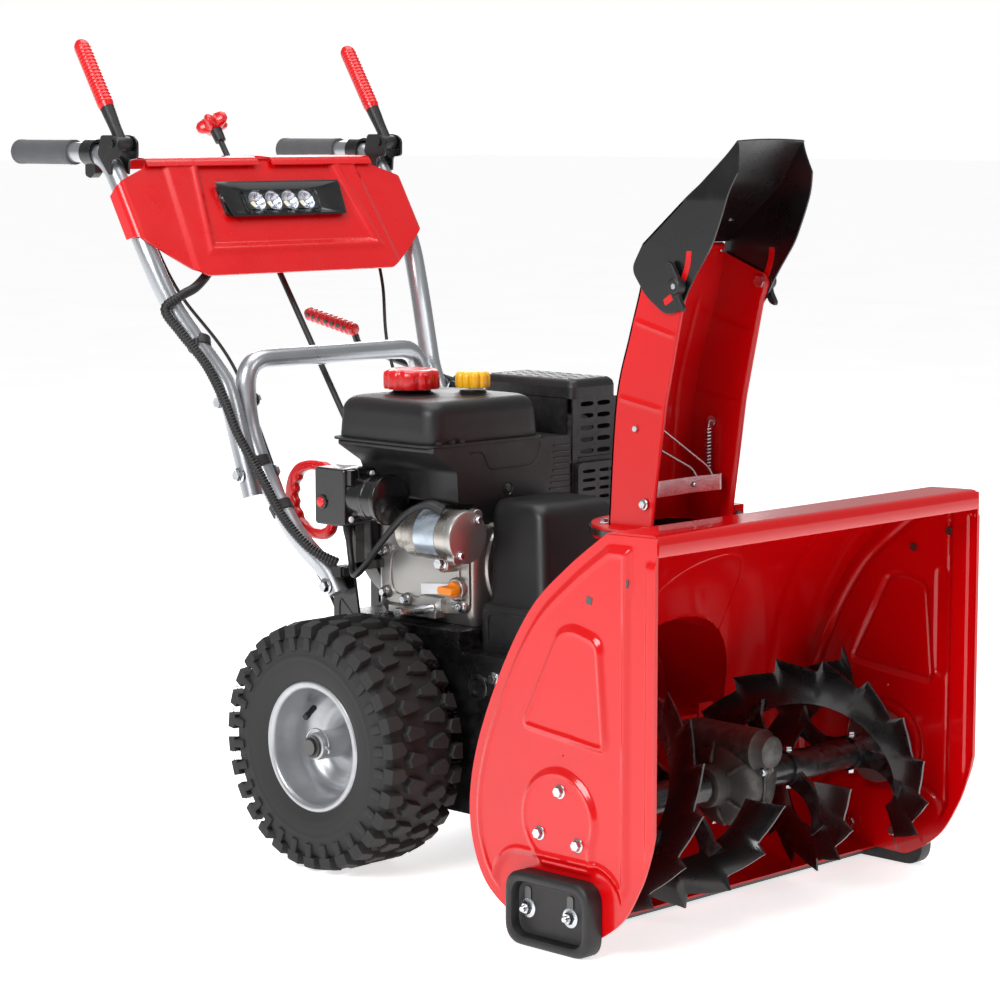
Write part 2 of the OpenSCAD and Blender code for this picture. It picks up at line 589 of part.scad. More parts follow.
// The D shaped pull: a round back, finger scallops inside and a straight front bar
module recoil_handle() color("red") {
    difference() {
        xprism([[112, 424], [128, 409], [160, 409], [190, 420], [208, 442], [213, 468], [206, 494],
            [188, 513], [158, 520], [128, 518], [112, 505]], -127, -113);
        xprism([[126, 430], [136, 424], [158, 424], [178, 432], [190, 447], [195, 468], [190, 488],
            [176, 501], [156, 506], [136, 504], [126, 498]], -130, -110);
    }
    for (i = [0 : 3]) xcyl(6, -126, -114, [184, 190, 191, 185][i], 444 + 15 * i);
    ycyl(3.5, 72, 113, -120, 465);
}
module cleanout_tool() color("red") {
    xcyl(11, -250, -118, -398, 396);
    xcyl(13, -122, -108, -398, 396);
    for (x = [-236, -160]) translate([x, 0, 0]) difference() {
        xprism([[-410, 372], [-385, 372], [-385, 392], [-410, 392]], 0, 14);
        xcyl(11, -5, 20, -398, 396);
        translate([-x, 0, 0]) housing_inside(0.95);
    }
}

// ---------- handles ----------
leg = [[-142, 84, 345], [-144, 98, 371], [-165, 140, 416], [-165, 202, 490], [-165, 240, 560],
    [-165, 247, 651]];
module lower_handle() color("silver") difference() {
    sweep(bent(concat(leg, reversed(flip_all(leg))), 26, 4), tube_r, 14);
    xcyl(4.3, -200, 200, 92, 355);
    for (p = joint_bolts) xcyl(4.3, -250, 250, p[0], p[1]);
}
joint_bolts = [[206, 500], [244, 596]];
upper = [[-195, 196, 470], [-195, 240, 596], [-195, 252, 622], [-236, 318, 728], [-grip_x, 350, 800],
    [-grip_x, 432, grip_z], [-grip_x, grip_end_y - 4, grip_z]];
module upper_tube() difference() {
    sweep(bent(upper, 30, 4), tube_r, 14);
    for (p = joint_bolts) xcyl(4.3, -250, 250, p[0], p[1]);
}
module upper_handle_right() color("silver") upper_tube();
module upper_handle_left() color("silver") mirror([1, 0, 0]) upper_tube();
module handle_bolts() color("silver") for (s = [-1, 1]) {
    for (p = joint_bolts) x_bolt(s, 148, 210, p[0], p[1], 4, 8, 6);
    x_bolt(s, 122, 158, 92, 355, 4, 8, 6);
}
module handle_grips() color([0.2, 0.2, 0.2]) for (s = [-1, 1]) difference() {
    ycyl(grip_r, grip_end_y - 131, grip_end_y, s * grip_x, grip_z);
    ycyl(tube_r + 0.1, grip_end_y - 132, grip_end_y - 3.9, s * grip_x, grip_z);
}
bracket_side = [[406, 900], [432, 930], [424, 956], [398, 956], [386, 948], [386, 924], [404.5, 922]];
module lever_bracket(s) translate([s * grip_x, 0, lift]) {
    difference() {
        for (x = [-18, 14.6]) xprism(bracket_side, x, x + 3.4);
        xcyl(4, -30, 30, 400, 944);
    }
    xcyl(4, -20, 20, 400, 944);
}
module control_brackets() color("black") {
    for (s = [-1, 1]) lever_bracket(s);
    // Eye that carries the chute crank, on the left tube
    difference() {
        union() {
            rod(crank_at(0.632), crank_at(0.654), 11);
            box(209.3, 218, 218, 232, 548, 600);
        }
        rod(crank_at(0.5), crank_at(0.9), 6 + run_gap);
    }
}
function crank_at(k) = joint_p + k * (crank_p - joint_p);
module lever(s) {
    a = [s * grip_x, lever_p[1], lever_p[2]];
    b = [s * grip_x, lever_tip[1], lever_tip[2]];
    difference() {
        union() {
            xcyl(10, a[0] - 13, a[0] + 13, a[1], a[2]);
            rod(a, a + 0.36 * (b - a), 9);
            rod(a + 0.34 * (b - a), b, 11.5);
            translate(b) sphere(r = 11.8);
        }
        xcyl(4 + run_gap, a[0] - 20, a[0] + 20, a[1], a[2]);
    }
}
module drive_lever() color("red") lever(1);
module auger_lever() color("red") lever(-1);

// Dash panel: a leaning front, a shelf on top and open behind
panel_x = panel_w / 2;
lamp_tilt = atan(92 / 155);
lamp_p = [12, 365.3, 865];
module dash_panel() color("red") translate([0, 0, lift]) difference() {
    intersection() {
        xprism([[306, 765], [398, 920], [476, 926], [476, 906], [420, 850], [362, 765]], -panel_x, panel_x);
        rotate([90, 0, 0]) translate([0, 0, -600]) linear_extrude(400) polygon([[-panel_x + 62, 930],
            [-panel_x, 893], [-panel_x, 828], [-panel_x + 52, 764], [panel_x - 52, 764], [panel_x, 828],
            [panel_x, 893], [panel_x - 62, 930]]);
    }
    xprism([[306.6, 760], [399.7, 917], [480, 923.2], [480, 700], [306.6, 700]], -half_w, half_w);
    translate(lamp_p) rotate([-lamp_tilt, 0, 0]) box(-113, 113, -20, 30, -24, 24);
    box(-4, 14, 425, 482, 900, 940);
    for (s = [-1, 1]) box(s * grip_x - 21.5, s * grip_x + 21.5, 403.5, 480, 850, 940);
}
module headlight() color([0.15, 0.15, 0.15]) translate(lamp_p + [0, 0, lift]) rotate([-lamp_tilt, 0, 0]) {
    difference() {
        union() {
            box(-117, 117, -4, 0, -28, 28);
            box(-112, 112, -1, 26, -23, 23);
        }
        box(-62, 62, -5, 18, -16, 16);
    }
    for (x = [-46.5 : 31 : 46.5]) ycyl(14.5, 8, 18, x, 0);
}
module shift_lever() color([0.15, 0.15, 0.15]) {
    difference() {
        union() {
            rod(shift_p + [0, 34, 150], [5, 506, 966 + lift], 5);
            rod(shift_p, shift_p + [0, 34, 150], 5);
            translate(shift_p + [0, 34, 150]) sphere(r = 5.2);
            xcyl(9, -3, 13, shift_p[1], shift_p[2]);
        }
        xcyl(5, -20, 30, shift_p[1], shift_p[2]);
    }
    xcyl(5, -14, 24, shift_p[1], shift_p[2]);
    translate([5, 506, 966 + lift]) rotate([-30, 0, 0]) for (k = [0 : 4]) rotate([0, 0, 72 * k])
        box(-7, 7, 0, 20, -1, 15);
}
// Crank: a rod with an offset perforated grip, and the worm shaft in front of it
module chute_crank() color("red") {
    u = unit(crank_p - joint_p);
    rod(joint_p + 7 * u, crank_p, 6);
    rod(crank_p - 3 * u, crank_p - 3 * u + [-14, -4, 26], 5);
    rod(crank_p - 8 * u + [-14, -4, 26], crank_p + 104 * u + [-14, -4, 26], 10);
}
module crank_worm() color("dimgray") {
    u = unit(joint_p - worm_p);
    rod(worm_p - 22 * u, joint_p - 6 * u, 5);
    difference() {
        rod(worm_p - 18 * u, worm_p + 18 * u, worm_r);
        rod(worm_p - 20 * u, worm_p + 20 * u, 5);
    }
    translate(joint_p) sphere(r = 7);
}
harness = [[-120, 350, 806], [-150, 334, 772], [-190, 316, 750], [-232, 297, 740], [-257, 302, 722],
    [-246, 282, 690], [-228, 252, 648], [-220, 224, 600], [-214, 204, 556], [-196, 178, 500],
    [-190, 142, 448], [-176, 104, 408], [-152, 74, 388]];
starter_lead = [[-152, -128, 477], [-162, -110, 484], [-177, -84, 470], [-185, -50, 434],
    [-185, -16, 398], [-177, 14, 381], [-164, 34, 396], [-158, 48, 444]];
module wiring_harness() color([0.07, 0.07, 0.07]) {
    sweep(spline([for (p = harness) p + [0, 0, p[2] > 760 ? lift : 0]], 2), 7, 8);
    sweep(spline(starter_lead, 3), 4.5, 8);
    box(-158, -134, 62, 78, 370, 384);
}
module control_cables() color([0.05, 0.05, 0.05]) for (s = [-1, 1])
    sweep(spline([[s * 222, 414, 900 + lift], [s * 216, 404, 860 + lift], [s * 205, 382, 800],
        [s * 190, 348, 735], [s * 148, 290, 640], [s * 139, 215, 500], [s * 138, 158, 400],
        [s * 120, 124, 335], [s * 112, 113, 300]], 2), 2.5, 8);

// ---------- chute ----------
wall_x = chute_w / 2;
chute_front = [[-421, 471], [-443, 628], [-470, 752], [-479, 776], [-473, 786]];
chute_back = [[-404, 813], [-398, 773], [-380, 712], [-358, 628], [-347, 471]];
module chute() color("red") difference() {
    union() {
        difference() {
            xprism(concat(chute_front, chute_back), -wall_x, wall_x);
            xprism([[-520, 460], [-520, 830], [-407, 830], [-400.5, 773], [-382.5, 712], [-360.5, 628],
                [-349.5, 460]], 2.5 - wall_x, wall_x - 2.5);
        }
        zcyl(98, 468, 471.5, 0, duct_y);
        for (s = [-1, 1]) xcyl(5, s > 0 ? 20 : -66, s > 0 ? 66 : -20, hinge[0], hinge[1]);
        for (s = [-1, 1]) box(s > 0 ? 20 : -66, s > 0 ? 66 : -20, -407, -404.2, 800, 819);
    }
    box(2.5 - wall_x, wall_x - 2.5, -421, -349.5, 460, 480);
    xcyl(2.5 + run_gap, -90, 90, hinge[0], hinge[1]);
    xcyl(3.6, -90, 90, clamp[0], clamp[1]);
}
module chute_ring() color("black") difference() {
    union() {
        zcyl(ring_r, 460, 468, 0, duct_y);
        zcyl(duct_r - sheet_t - play, 440, 461, 0, duct_y);
    }
    zcyl(duct_r - sheet_t - 3.5, 430, 470, 0, duct_y);
}
module chute_guard() color("silver") {
    box(2.5 - wall_x, wall_x - 2.5, -424, -421.5, 516, 531);
    for (y = [-404, -392]) rod([-wall_x + 6, y - 14, 531 + 0], [-wall_x + 5, y, 612], 2.5);
    xcyl(3, 2.5 - wall_x, 8 - wall_x, -392, 614);
    box(wall_x - 10, wall_x - 2.5, -421.5, -386, 516, 531);
    zcyl(5.5, 531, 592, wall_x - 10, -391);
    xcyl(4, wall_x - 12, wall_x - 2.5, -391, 596);
}
module deflector_knobs() color("black") for (s = [-1, 1]) mirror([s > 0 ? 0 : 1, 0, 0]) {
    xcyl(3.55, wall_x - 6, 88, clamp[0], clamp[1]);
    xcyl(8, wall_x - 6, wall_x - 2.5, clamp[0], clamp[1]);
    difference() {
        xcyl(10, deflector_w / 2 + play, 94, clamp[0], clamp[1]);
        xcyl(3.5, 70, 88, clamp[0], clamp[1]);
    }
    translate([86, clamp[0], clamp[1]]) rotate([25, 0, 0]) box(0, 7, -22, 22, -4, 4);
}
deflector_side = [[-406, 826], [-387, 794], [-411, 762], [-443, 740], [-466, 745], [-489, 786],
    [-517, 826], [-533, 865], [-549, 913], [-541, 952], [-494, 899]];
module deflector() color([0.08, 0.08, 0.08]) {
    xo = deflector_w / 2;
    difference() {
        xprism(deflector_side, -xo, xo);
        xprism([[-404.5, 823.6], [-360, 823], [-360, 700], [-600, 700], [-600, 930], [-560, 975],
            [-542.6, 950], [-495.5, 897.1]], 2.5 - xo, xo - 2.5);
        difference() {
            xcyl(slot_r + 4.3, -100, 100, hinge[0], hinge[1]);
            xcyl(slot_r - 4.3, -101, 101, hinge[0], hinge[1]);
            xprism([hinge, hinge + 200 * [cos(174), sin(174)], hinge + [-200, 200], hinge + [200, 200],
                hinge + [200, -200], hinge + 200 * [cos(249), sin(249)]], -102, 102);
        }
        for (s = [-1, 1]) translate([s * (xo - 4), -560, 960]) rotate([0, s * 40, 0]) box(-8, 30, -20, 50, -20, 20);
    }
    difference() {
        union() {
            xcyl(5, -18, 18, hinge[0], hinge[1]);
            box(-18, 18, -412, -406, 819, 827.5);
        }
        xcyl(2.5, -30, 30, hinge[0], hinge[1]);
        xprism([[-395, 814.5], [-395, 850], [-406, 826], [-494, 899], [-480, 930], [-380, 930], [-380, 814]], -30, 30);
    }
    xcyl(2.5, -66, 66, hinge[0], hinge[1]);
}

chassis_frame();
chassis_cover();
housing_wrap();
side_plate_right();
side_plate_left();
impeller_drum();
scraper_bar();
gearbox_case();
shaft_bearings();
housing_bolts();
belt_cover();
engine_block();
fuel_tank();
engine_shroud();
muffler_guard();
muffler();
starter_motor();
switch_box();
recoil_cover();
transmission();
drive_belts();
lower_handle();
upper_handle_right();
upper_handle_left();
handle_bolts();
handle_grips();
control_brackets();
dash_panel();
headlight();
wiring_harness();
control_cables();
cleanout_tool();
axle_shaft();
tyre_right();
tyre_left();
rim_right();
rim_left();
auger_shaft();
auger_right();
auger_left();
impeller();
impeller_shaft();
engine_pulley();
chute_ring();
chute();
chute_guard();
deflector_knobs();
deflector();
drive_lever();
auger_lever();
shift_lever();
chute_crank();
crank_worm();
fuel_cap();
oil_cap();
dipstick();
starter_button();
recoil_handle();
skid_shoe_right();
skid_shoe_left();
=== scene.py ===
"""Two stage snowblower: the detailed visual model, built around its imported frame.

Sizes in the classes are millimetres in the row frame, as in the part's source. X runs across
the machine, -Y is the auger's mouth and +Z is up. Shapes are gathered as arrays in a Shape and
put into a mesh in metres when the piece is finished.
"""

import logging
import sys
from collections.abc import Callable
from dataclasses import dataclass, field
from enum import Enum
import bmesh  # noqa: E402
import bpy  # noqa: E402
import numpy as np  # noqa: E402
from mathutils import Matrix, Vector  # noqa: E402


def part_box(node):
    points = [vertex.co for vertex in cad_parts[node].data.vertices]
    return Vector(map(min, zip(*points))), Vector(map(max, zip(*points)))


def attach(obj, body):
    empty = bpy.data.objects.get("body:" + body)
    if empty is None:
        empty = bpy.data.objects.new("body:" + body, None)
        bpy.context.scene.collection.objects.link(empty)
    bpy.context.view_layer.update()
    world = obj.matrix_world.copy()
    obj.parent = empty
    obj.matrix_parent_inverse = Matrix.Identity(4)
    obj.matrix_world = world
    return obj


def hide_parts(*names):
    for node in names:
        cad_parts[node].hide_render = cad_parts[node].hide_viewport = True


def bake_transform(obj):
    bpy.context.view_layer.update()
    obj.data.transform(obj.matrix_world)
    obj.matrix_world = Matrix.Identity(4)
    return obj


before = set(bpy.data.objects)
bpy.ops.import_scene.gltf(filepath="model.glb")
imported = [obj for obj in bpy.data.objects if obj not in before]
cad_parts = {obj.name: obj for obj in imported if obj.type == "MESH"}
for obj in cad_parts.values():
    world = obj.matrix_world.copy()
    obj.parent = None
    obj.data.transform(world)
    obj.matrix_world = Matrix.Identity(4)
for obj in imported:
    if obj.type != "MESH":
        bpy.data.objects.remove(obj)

LOG = logging.getLogger("snowblower")
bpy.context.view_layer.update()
Array = np.ndarray
TAU = 2 * np.pi


# ---------------------------------------------------------------- shapes from arrays
def unit(v: Array) -> Array:
    """Each vector divided by its own length."""
    v = np.asarray(v, float)
    return v / np.maximum(np.linalg.norm(v, axis=-1, keepdims=True), 1e-12)


def smooth(x: Array, lo: float, hi: float) -> Array:
    """The step 3t^2 - 2t^3, where t runs from 0 at lo to 1 at hi."""
    t = np.clip((x - lo) / (hi - lo), 0, 1)
    return t * t * (3 - 2 * t)


def spline(points: Array, per_span: int) -> Array:
    """A Catmull-Rom curve through all the points, per_span steps to a span.

    Args:
        points: The points, one a row.
        per_span: Steps between one point and the next.

    Returns:
        The curve's points, one a row.
    """
    p = np.asarray(points, float)
    ends = np.vstack([p[:1], p, p[-1:]])
    a, b, c, d = ends[:-3, None], ends[1:-2, None], ends[2:-1, None], ends[3:, None]
    t = (np.arange(per_span) / per_span)[None, :, None]
    q = 0.5 * (2 * b + (c - a) * t + (2 * a - 5 * b + 4 * c - d) * t**2 + (3 * b - a - 3 * c + d) * t**3)
    return np.vstack([q.reshape(-1, p.shape[1]), p[-1:]])


def resampled(points: Array, count: int, closed: bool = False) -> Array:
    """The same line as count points an equal way apart along it.

    Args:
        points: The line's corners, one a row.
        count: Points wanted.
        closed: True where the line returns to its first point, which isn't repeated.

    Returns:
        The evenly spaced points.
    """
    p = np.asarray(points, float)
    if closed:
        p = np.vstack([p, p[:1]])
    s = np.concatenate([[0], np.cumsum(np.linalg.norm(np.diff(p, axis=0), axis=1))])
    at = np.linspace(0, s[-1], count, endpoint=not closed)
    return np.stack([np.interp(at, s, p[:, k]) for k in range(p.shape[1])], axis=1)


def rounded(points: Array, radius: float, steps: int = 5, closed: bool = False) -> Array:
    """The line with each corner replaced by the parabola between the two points radius away.

    Args:
        points: The line's corners, in the plane or in space, one a row.
        radius: How far from a corner the curve starts, less where a side is short.
        steps: Points on each curve, less one.
        closed: True where the line returns to its first point.

    Returns:
        The rounded line's points.
    """
    p = np.asarray(points, float)
    before, after = np.roll(p, 1, axis=0), np.roll(p, -1, axis=0)
    u, v = before - p, after - p
    reach = np.minimum(radius, 0.45 * np.minimum(np.linalg.norm(u, axis=1), np.linalg.norm(v, axis=1)))
    a, c = p + unit(u) * reach[:, None], p + unit(v) * reach[:, None]
    t = np.linspace(0, 1, steps + 1)[None, :, None]
    arcs = (1 - t) ** 2 * a[:, None] + 2 * t * (1 - t) * p[:, None] + t**2 * c[:, None]
    if closed:
        return arcs.reshape(-1, p.shape[1])
    return np.vstack([p[:1], arcs[1:-1].reshape(-1, p.shape[1]), p[-1:]])


def rect(a0: float, a1: float, b0: float, b1: float, r: float = 0.0, steps: int = 5) -> Array:
    """The outline of a rectangle between two corners, with corners rounded by r."""
    corners = np.array([[a0, b0], [a1, b0], [a1, b1], [a0, b1]], float)
    return rounded(corners, r, steps, closed=True) if r > 0 else corners


def circle(r: float, n: int, ca: float = 0.0, cb: float = 0.0, phase: float = 0.0) -> Array:
    """A circle's n points: (ca + r cos t, cb + r sin t)."""
    t = TAU * np.arange(n) / n + phase
    return np.stack([ca + r * np.cos(t), cb + r * np.sin(t)], axis=1)


def placed(plane: str, flat: Array, level: float | Array) -> Array:
    """Points of a plane put in space: "x" takes (y, z), "y" takes (x, z) and "z" takes (x, y).

    Args:
        plane: The plane: "x", "y" or "z", the axis it faces.
        flat: Points in the plane.
        level: The plane's place on its axis.

    Returns:
        The result, point by point.
    """
    flat = np.asarray(flat, float)
    off = np.broadcast_to(np.asarray(level, float), flat.shape[:-1])
    order = {"x": (off, flat[..., 0], flat[..., 1]), "y": (flat[..., 0], off, flat[..., 1]),
             "z": (flat[..., 0], flat[..., 1], off)}
    return np.stack(order[plane], axis=-1)


def signed_gap(points: Array, outline: Array) -> Array:
    """How far each point lies from a closed outline, below 0 inside it.

    The gap to one side a-b is |p - a - clip((p - a).(b - a) / |b - a|^2, 0, 1)(b - a)|, and a
    point is inside where a ray from it crosses the sides an odd number of times.

    Args:
        points: The points, in millimetres.
        outline: A closed outline as flat points.

    Returns:
        The result, point by point.
    """
    shape = points.shape[:-1]
    p = points.reshape(-1, 1, 2)
    a, b = outline[None], np.roll(outline, -1, axis=0)[None]
    along = b - a
    t = np.clip(((p - a) * along).sum(-1) / np.maximum((along**2).sum(-1), 1e-12), 0, 1)
    gap = np.linalg.norm(p - a - t[..., None] * along, axis=-1).min(axis=1)
    rises = (a[..., 1] > p[..., 1]) != (b[..., 1] > p[..., 1])
    slope = np.where(np.abs(along[..., 1]) < 1e-12, 1e-12, along[..., 1])
    left = p[..., 0] < a[..., 0] + (p[..., 1] - a[..., 1]) * along[..., 0] / slope
    inside = ((rises & left).sum(axis=1) % 2).astype(bool)
    return np.where(inside, -gap, gap).reshape(shape)


def turned(points: Array, axis: Array, angle: float, centre: Array = (0, 0, 0)) -> Array:
    """Points turned about an axis through centre: p cos a + (k x p) sin a + k (k.p)(1 - cos a).

    Args:
        points: The points, in millimetres.
        axis: The direction of the axis.
        angle: The angle in radians.
        centre: A point on the axis.

    Returns:
        The result, point by point.
    """
    k, c = unit(np.asarray(axis, float)), np.asarray(centre, float)
    p = np.asarray(points, float) - c
    dot = (p @ k)[..., None]
    return c + p * np.cos(angle) + np.cross(k, p) * np.sin(angle) + k * dot * (1 - np.cos(angle))


def upright(line: Array) -> Array:
    """The unit normals of a line of flat points: its direction turned a quarter turn to the left."""
    along = np.gradient(np.asarray(line, float), axis=0)
    return unit(np.stack([-along[:, 1], along[:, 0]], axis=1))


def spread(x: Array, flat: Array) -> Array:
    """Points (x, y, z) for every (y, z) of a line or grid of rows, at every x of a row.

    Args:
        x: The row's x values.
        flat: Points (y, z) with shape (rows, 2) or (rows, columns, 2).

    Returns:
        Points with shape (rows, columns, 3).
    """
    level = np.broadcast_to(x[None, :, None], (len(flat), len(x), 1))
    flat = flat if flat.ndim == 3 else flat[:, None]
    return np.concatenate([level, np.broadcast_to(flat, (*level.shape[:2], 2))], axis=-1)


class Shape:
    """Vertices in millimetres and faces, gathered from arrays until they become one mesh."""

    def __init__(self) -> None:
        """Start with nothing."""
        self.points: list[Array] = []
        self.faces: list[Array] = []
        self.count = 0

    def add(self, points: Array, *faces: Array) -> "Shape":
        """Take points, and faces as arrays of corner numbers, one face a row.

        Args:
            points: The points, in millimetres.
            faces: Faces as arrays of corner numbers, one face a row.

        Returns:
            This shape, with the new faces in it.
        """
        points = np.asarray(points, float).reshape(-1, 3)
        self.points.append(points)
        self.faces += [np.asarray(f, int).reshape(len(f), -1) + self.count for f in faces if len(f)]
        self.count += len(points)
        return self

    def grid(self, p: Array, wrap_u: bool = False, wrap_v: bool = False, caps: bool = False) -> "Shape":
        """A sheet of quads on a grid of points.

        Args:
            p: Points with shape (rows, columns, 3).
            wrap_u: Join the last row to the first.
            wrap_v: Join the last column to the first.
            caps: Close the first and the last row with a face each.

        Returns:
            This shape.
        """
        n, m = p.shape[:2]
        i, j = np.arange(n if wrap_u else n - 1)[:, None], np.arange(m if wrap_v else m - 1)[None]
        i2, j2 = (i + 1) % n, (j + 1) % m
        quads = np.stack([i * m + j, i * m + j2, i2 * m + j2, i2 * m + j], axis=-1).reshape(-1, 4)
        ends = [np.arange(m)[None, ::-1], (n - 1) * m + np.arange(m)[None]] if caps else []
        return self.add(p, quads, *ends)

    def prism(self, plane: str, outline: Array, lo: float, hi: float) -> "Shape":
        """A closed prism on an outline of a plane, between two levels."""
        return self.grid(np.stack([placed(plane, outline, lo), placed(plane, outline, hi)]),
                         wrap_v=True, caps=True)

    def loft(self, plane: str, outlines: list[Array], levels: list[float]) -> "Shape":
        """A closed body through outlines with the same number of points, one at each level."""
        rows = [placed(plane, o, z) for o, z in zip(outlines, levels)]
        return self.grid(np.stack(rows), wrap_v=True, caps=True)

    def frame(self, plane: str, outer: Array, inner: Array, lo: float, hi: float) -> "Shape":
        """A closed plate between an outer and an inner outline with the same number of points.

        Args:
            plane: The plane: "x", "y" or "z", the axis it faces.
            outer: The outer outline.
            inner: The inner outline.
            lo: The lower level.
            hi: The upper level.

        Returns:
            This shape, with the new faces in it.
        """
        rows = [placed(plane, outer, lo), placed(plane, outer, hi), placed(plane, inner, hi),
                placed(plane, inner, lo)]
        return self.grid(np.stack(rows), wrap_u=True, wrap_v=True)

    def cuboid(self, lo: Array, hi: Array) -> "Shape":
        """A block between two corners."""
        return self.prism("z", rect(lo[0], hi[0], lo[1], hi[1]), lo[2], hi[2])

    def lathe(self, profile: Array, centre: Array, axis: Array, sides: int = 48,
              ring: bool = False) -> "Shape":
        """A profile of (way along the axis, radius) turned about the axis.

        A point is c + s k + r (u cos t + v sin t), where u, v and the axis k are square to
        each other.

        Args:
            profile: Rows of (s, r).
            centre: The point c.
            axis: The axis k, of any length.
            sides: Points round the axis.
            ring: True where the profile is a closed loop and the body is a ring.

        Returns:
            This shape.
        """
        profile = np.asarray(profile, float)
        k = unit(np.asarray(axis, float))
        u = unit(np.cross(k, [0, 0, 1.0] if abs(k[2]) < 0.9 else [1.0, 0, 0]))
        v, t = np.cross(k, u), TAU * np.arange(sides) / sides
        spoke = np.cos(t)[:, None] * u + np.sin(t)[:, None] * v
        p = np.asarray(centre, float) + profile[:, :1, None] * k + profile[:, 1, None, None] * spoke
        return self.grid(p, wrap_u=ring, wrap_v=True, caps=not ring)

    def tube(self, path: Array, radius: float | Array, sides: int = 16, up: Array = (0, 0, 1.0)) -> "Shape":
        """A closed tube whose middle follows a path.

        A ring's point is p + r (n cos t + b sin t), with b the tangent crossed with up and n
        that crossed with the tangent.

        Args:
            path: Points of the middle line.
            radius: The tube's radius, one number or one for each point.
            sides: How many sides go round.
            up: A direction that the section keeps to.

        Returns:
            This shape, with the new faces in it.
        """
        path = np.asarray(path, float)
        tangent = unit(np.gradient(path, axis=0))
        b = unit(np.cross(tangent, np.asarray(up, float)))
        n = np.cross(b, tangent)
        t = TAU * np.arange(sides) / sides
        ring = n[:, None] * np.cos(t)[None, :, None] + b[:, None] * np.sin(t)[None, :, None]
        r = np.broadcast_to(np.asarray(radius, float), (len(path),))[:, None, None]
        return self.grid(path[:, None] + r * ring, wrap_v=True, caps=True)

    def ribbon(self, path: Array, width: float, thick: float, up: Array = (0, 0, 1.0)) -> "Shape":
        """A flat strap of a width and thickness along a path, its flat side towards up.

        Args:
            path: Points of the middle line.
            width: The strap's width.
            thick: The strap's thickness.
            up: A direction that the section keeps to.

        Returns:
            This shape, with the new faces in it.
        """
        path = np.asarray(path, float)
        tangent = unit(np.gradient(path, axis=0))
        b = unit(np.cross(tangent, np.asarray(up, float))) * width / 2
        n = unit(np.cross(b, tangent)) * thick / 2
        return self.grid(np.stack([path - b - n, path + b - n, path + b + n, path - b + n], axis=1),
                         wrap_v=True, caps=True)

    def slab(self, top: Array, low: Array, wrap_v: bool = False) -> "Shape":
        """A closed plate between two sheets of the same grid size, joined round their edges.

        Args:
            top: The first sheet's points, rows by columns.
            low: The second sheet's points.
            wrap_v: True where the columns close on themselves.

        Returns:
            This shape, with the new faces in it.
        """
        if wrap_v:
            return self.grid(np.concatenate([top, low[::-1]]), wrap_u=True, wrap_v=True)
        n, m = top.shape[:2]
        rim = np.concatenate([np.arange(m), np.arange(2, n + 1) * m - 1, n * m - 2 - np.arange(m - 1),
                              np.arange(n - 2, 0, -1) * m])
        ahead = np.roll(rim, -1)
        walls = np.stack([rim, rim + n * m, ahead + n * m, ahead], axis=-1)
        i, j = np.arange(n - 1)[:, None] * m, np.arange(m - 1)[None]
        quads = np.stack([i + j, i + j + 1, i + j + m + 1, i + j + m], axis=-1).reshape(-1, 4)
        return self.add(np.concatenate([top.reshape(-1, 3), low.reshape(-1, 3)]), quads,
                        quads[:, ::-1] + n * m, walls)

    def bordered(self, top: Array, low: Array, keep: Array) -> "Shape":
        """Two sheets of one grid with some faces left out, joined round every border that is left.

        A border is a side that only one kept face has.

        Args:
            top: The first sheet's points, rows by columns.
            low: The second sheet's points.
            keep: True for each face that stays, one row and one column fewer than the points.

        Returns:
            This shape.
        """
        n, m = top.shape[:2]
        i, j = np.arange(n - 1)[:, None], np.arange(m - 1)[None]
        quads = np.stack([i * m + j, i * m + j + 1, (i + 1) * m + j + 1, (i + 1) * m + j], axis=-1)[keep]
        sides = np.stack([quads, np.roll(quads, -1, axis=1)], axis=-1).reshape(-1, 2)
        key = np.sort(sides, axis=1) @ np.array([n * m, 1])
        _, first, count = np.unique(key, return_index=True, return_counts=True)
        rim = sides[first[count == 1]]
        walls = np.stack([rim[:, 1], rim[:, 0], rim[:, 0] + n * m, rim[:, 1] + n * m], axis=-1)
        return self.add(np.concatenate([top.reshape(-1, 3), low.reshape(-1, 3)]), quads,
                        quads[:, ::-1] + n * m, walls)

    def rod(self, lo: float, hi: float, r: float, centre: Array, axis: Array, sides: int = 48) -> "Shape":
        """A plain round bar of radius r, from lo to hi along an axis through centre."""
        return self.lathe([(lo, 0), (lo, r), (hi, r), (hi, 0)], centre, axis, sides)

    def collar(self, lo: float, hi: float, radii: tuple, centre: Array, axis: Array,
               sides: int = 48) -> "Shape":
        """A plain ring with an inner and an outer radius, from lo to hi along an axis through centre."""
        bore, r = radii
        return self.lathe([(lo, bore), (lo, r), (hi, r), (hi, bore)], centre, axis, sides, ring=True)

    def bolt(self, at: Array, axis: Array, r: float, h: float, washer: float = 0.0,
             sides: int = 6) -> "Shape":
        """A bolt head of height h with a chamfered top and, where washer is above 0, a washer of that radius.

        Args:
            at: Where it stands.
            axis: The direction of the axis.
            r: Its radius.
            h: Its height.
            washer: The washer's radius, 0 for none.
            sides: How many sides go round.

        Returns:
            This shape, with the new faces in it.
        """
        if washer:
            self.lathe([(0, 0), (0, washer), (1.4, washer), (1.8, washer - 0.6), (1.8, 0)], at, axis, 28)
        base = 1.8 if washer else 0.0
        return self.lathe([(base, 0), (base, r), (base + 0.75 * h, r), (base + h, 0.86 * r), (base + h, 0)],
                          at, axis, sides)

    def joined(self, other: "Shape") -> "Shape":
        """Take all that another shape holds.

        Args:
            other: The shape to take in.

        Returns:
            This shape, with the new faces in it.
        """
        self.points += other.points
        self.faces += [f + self.count for f in list(other.faces)]
        self.count += other.count
        return self

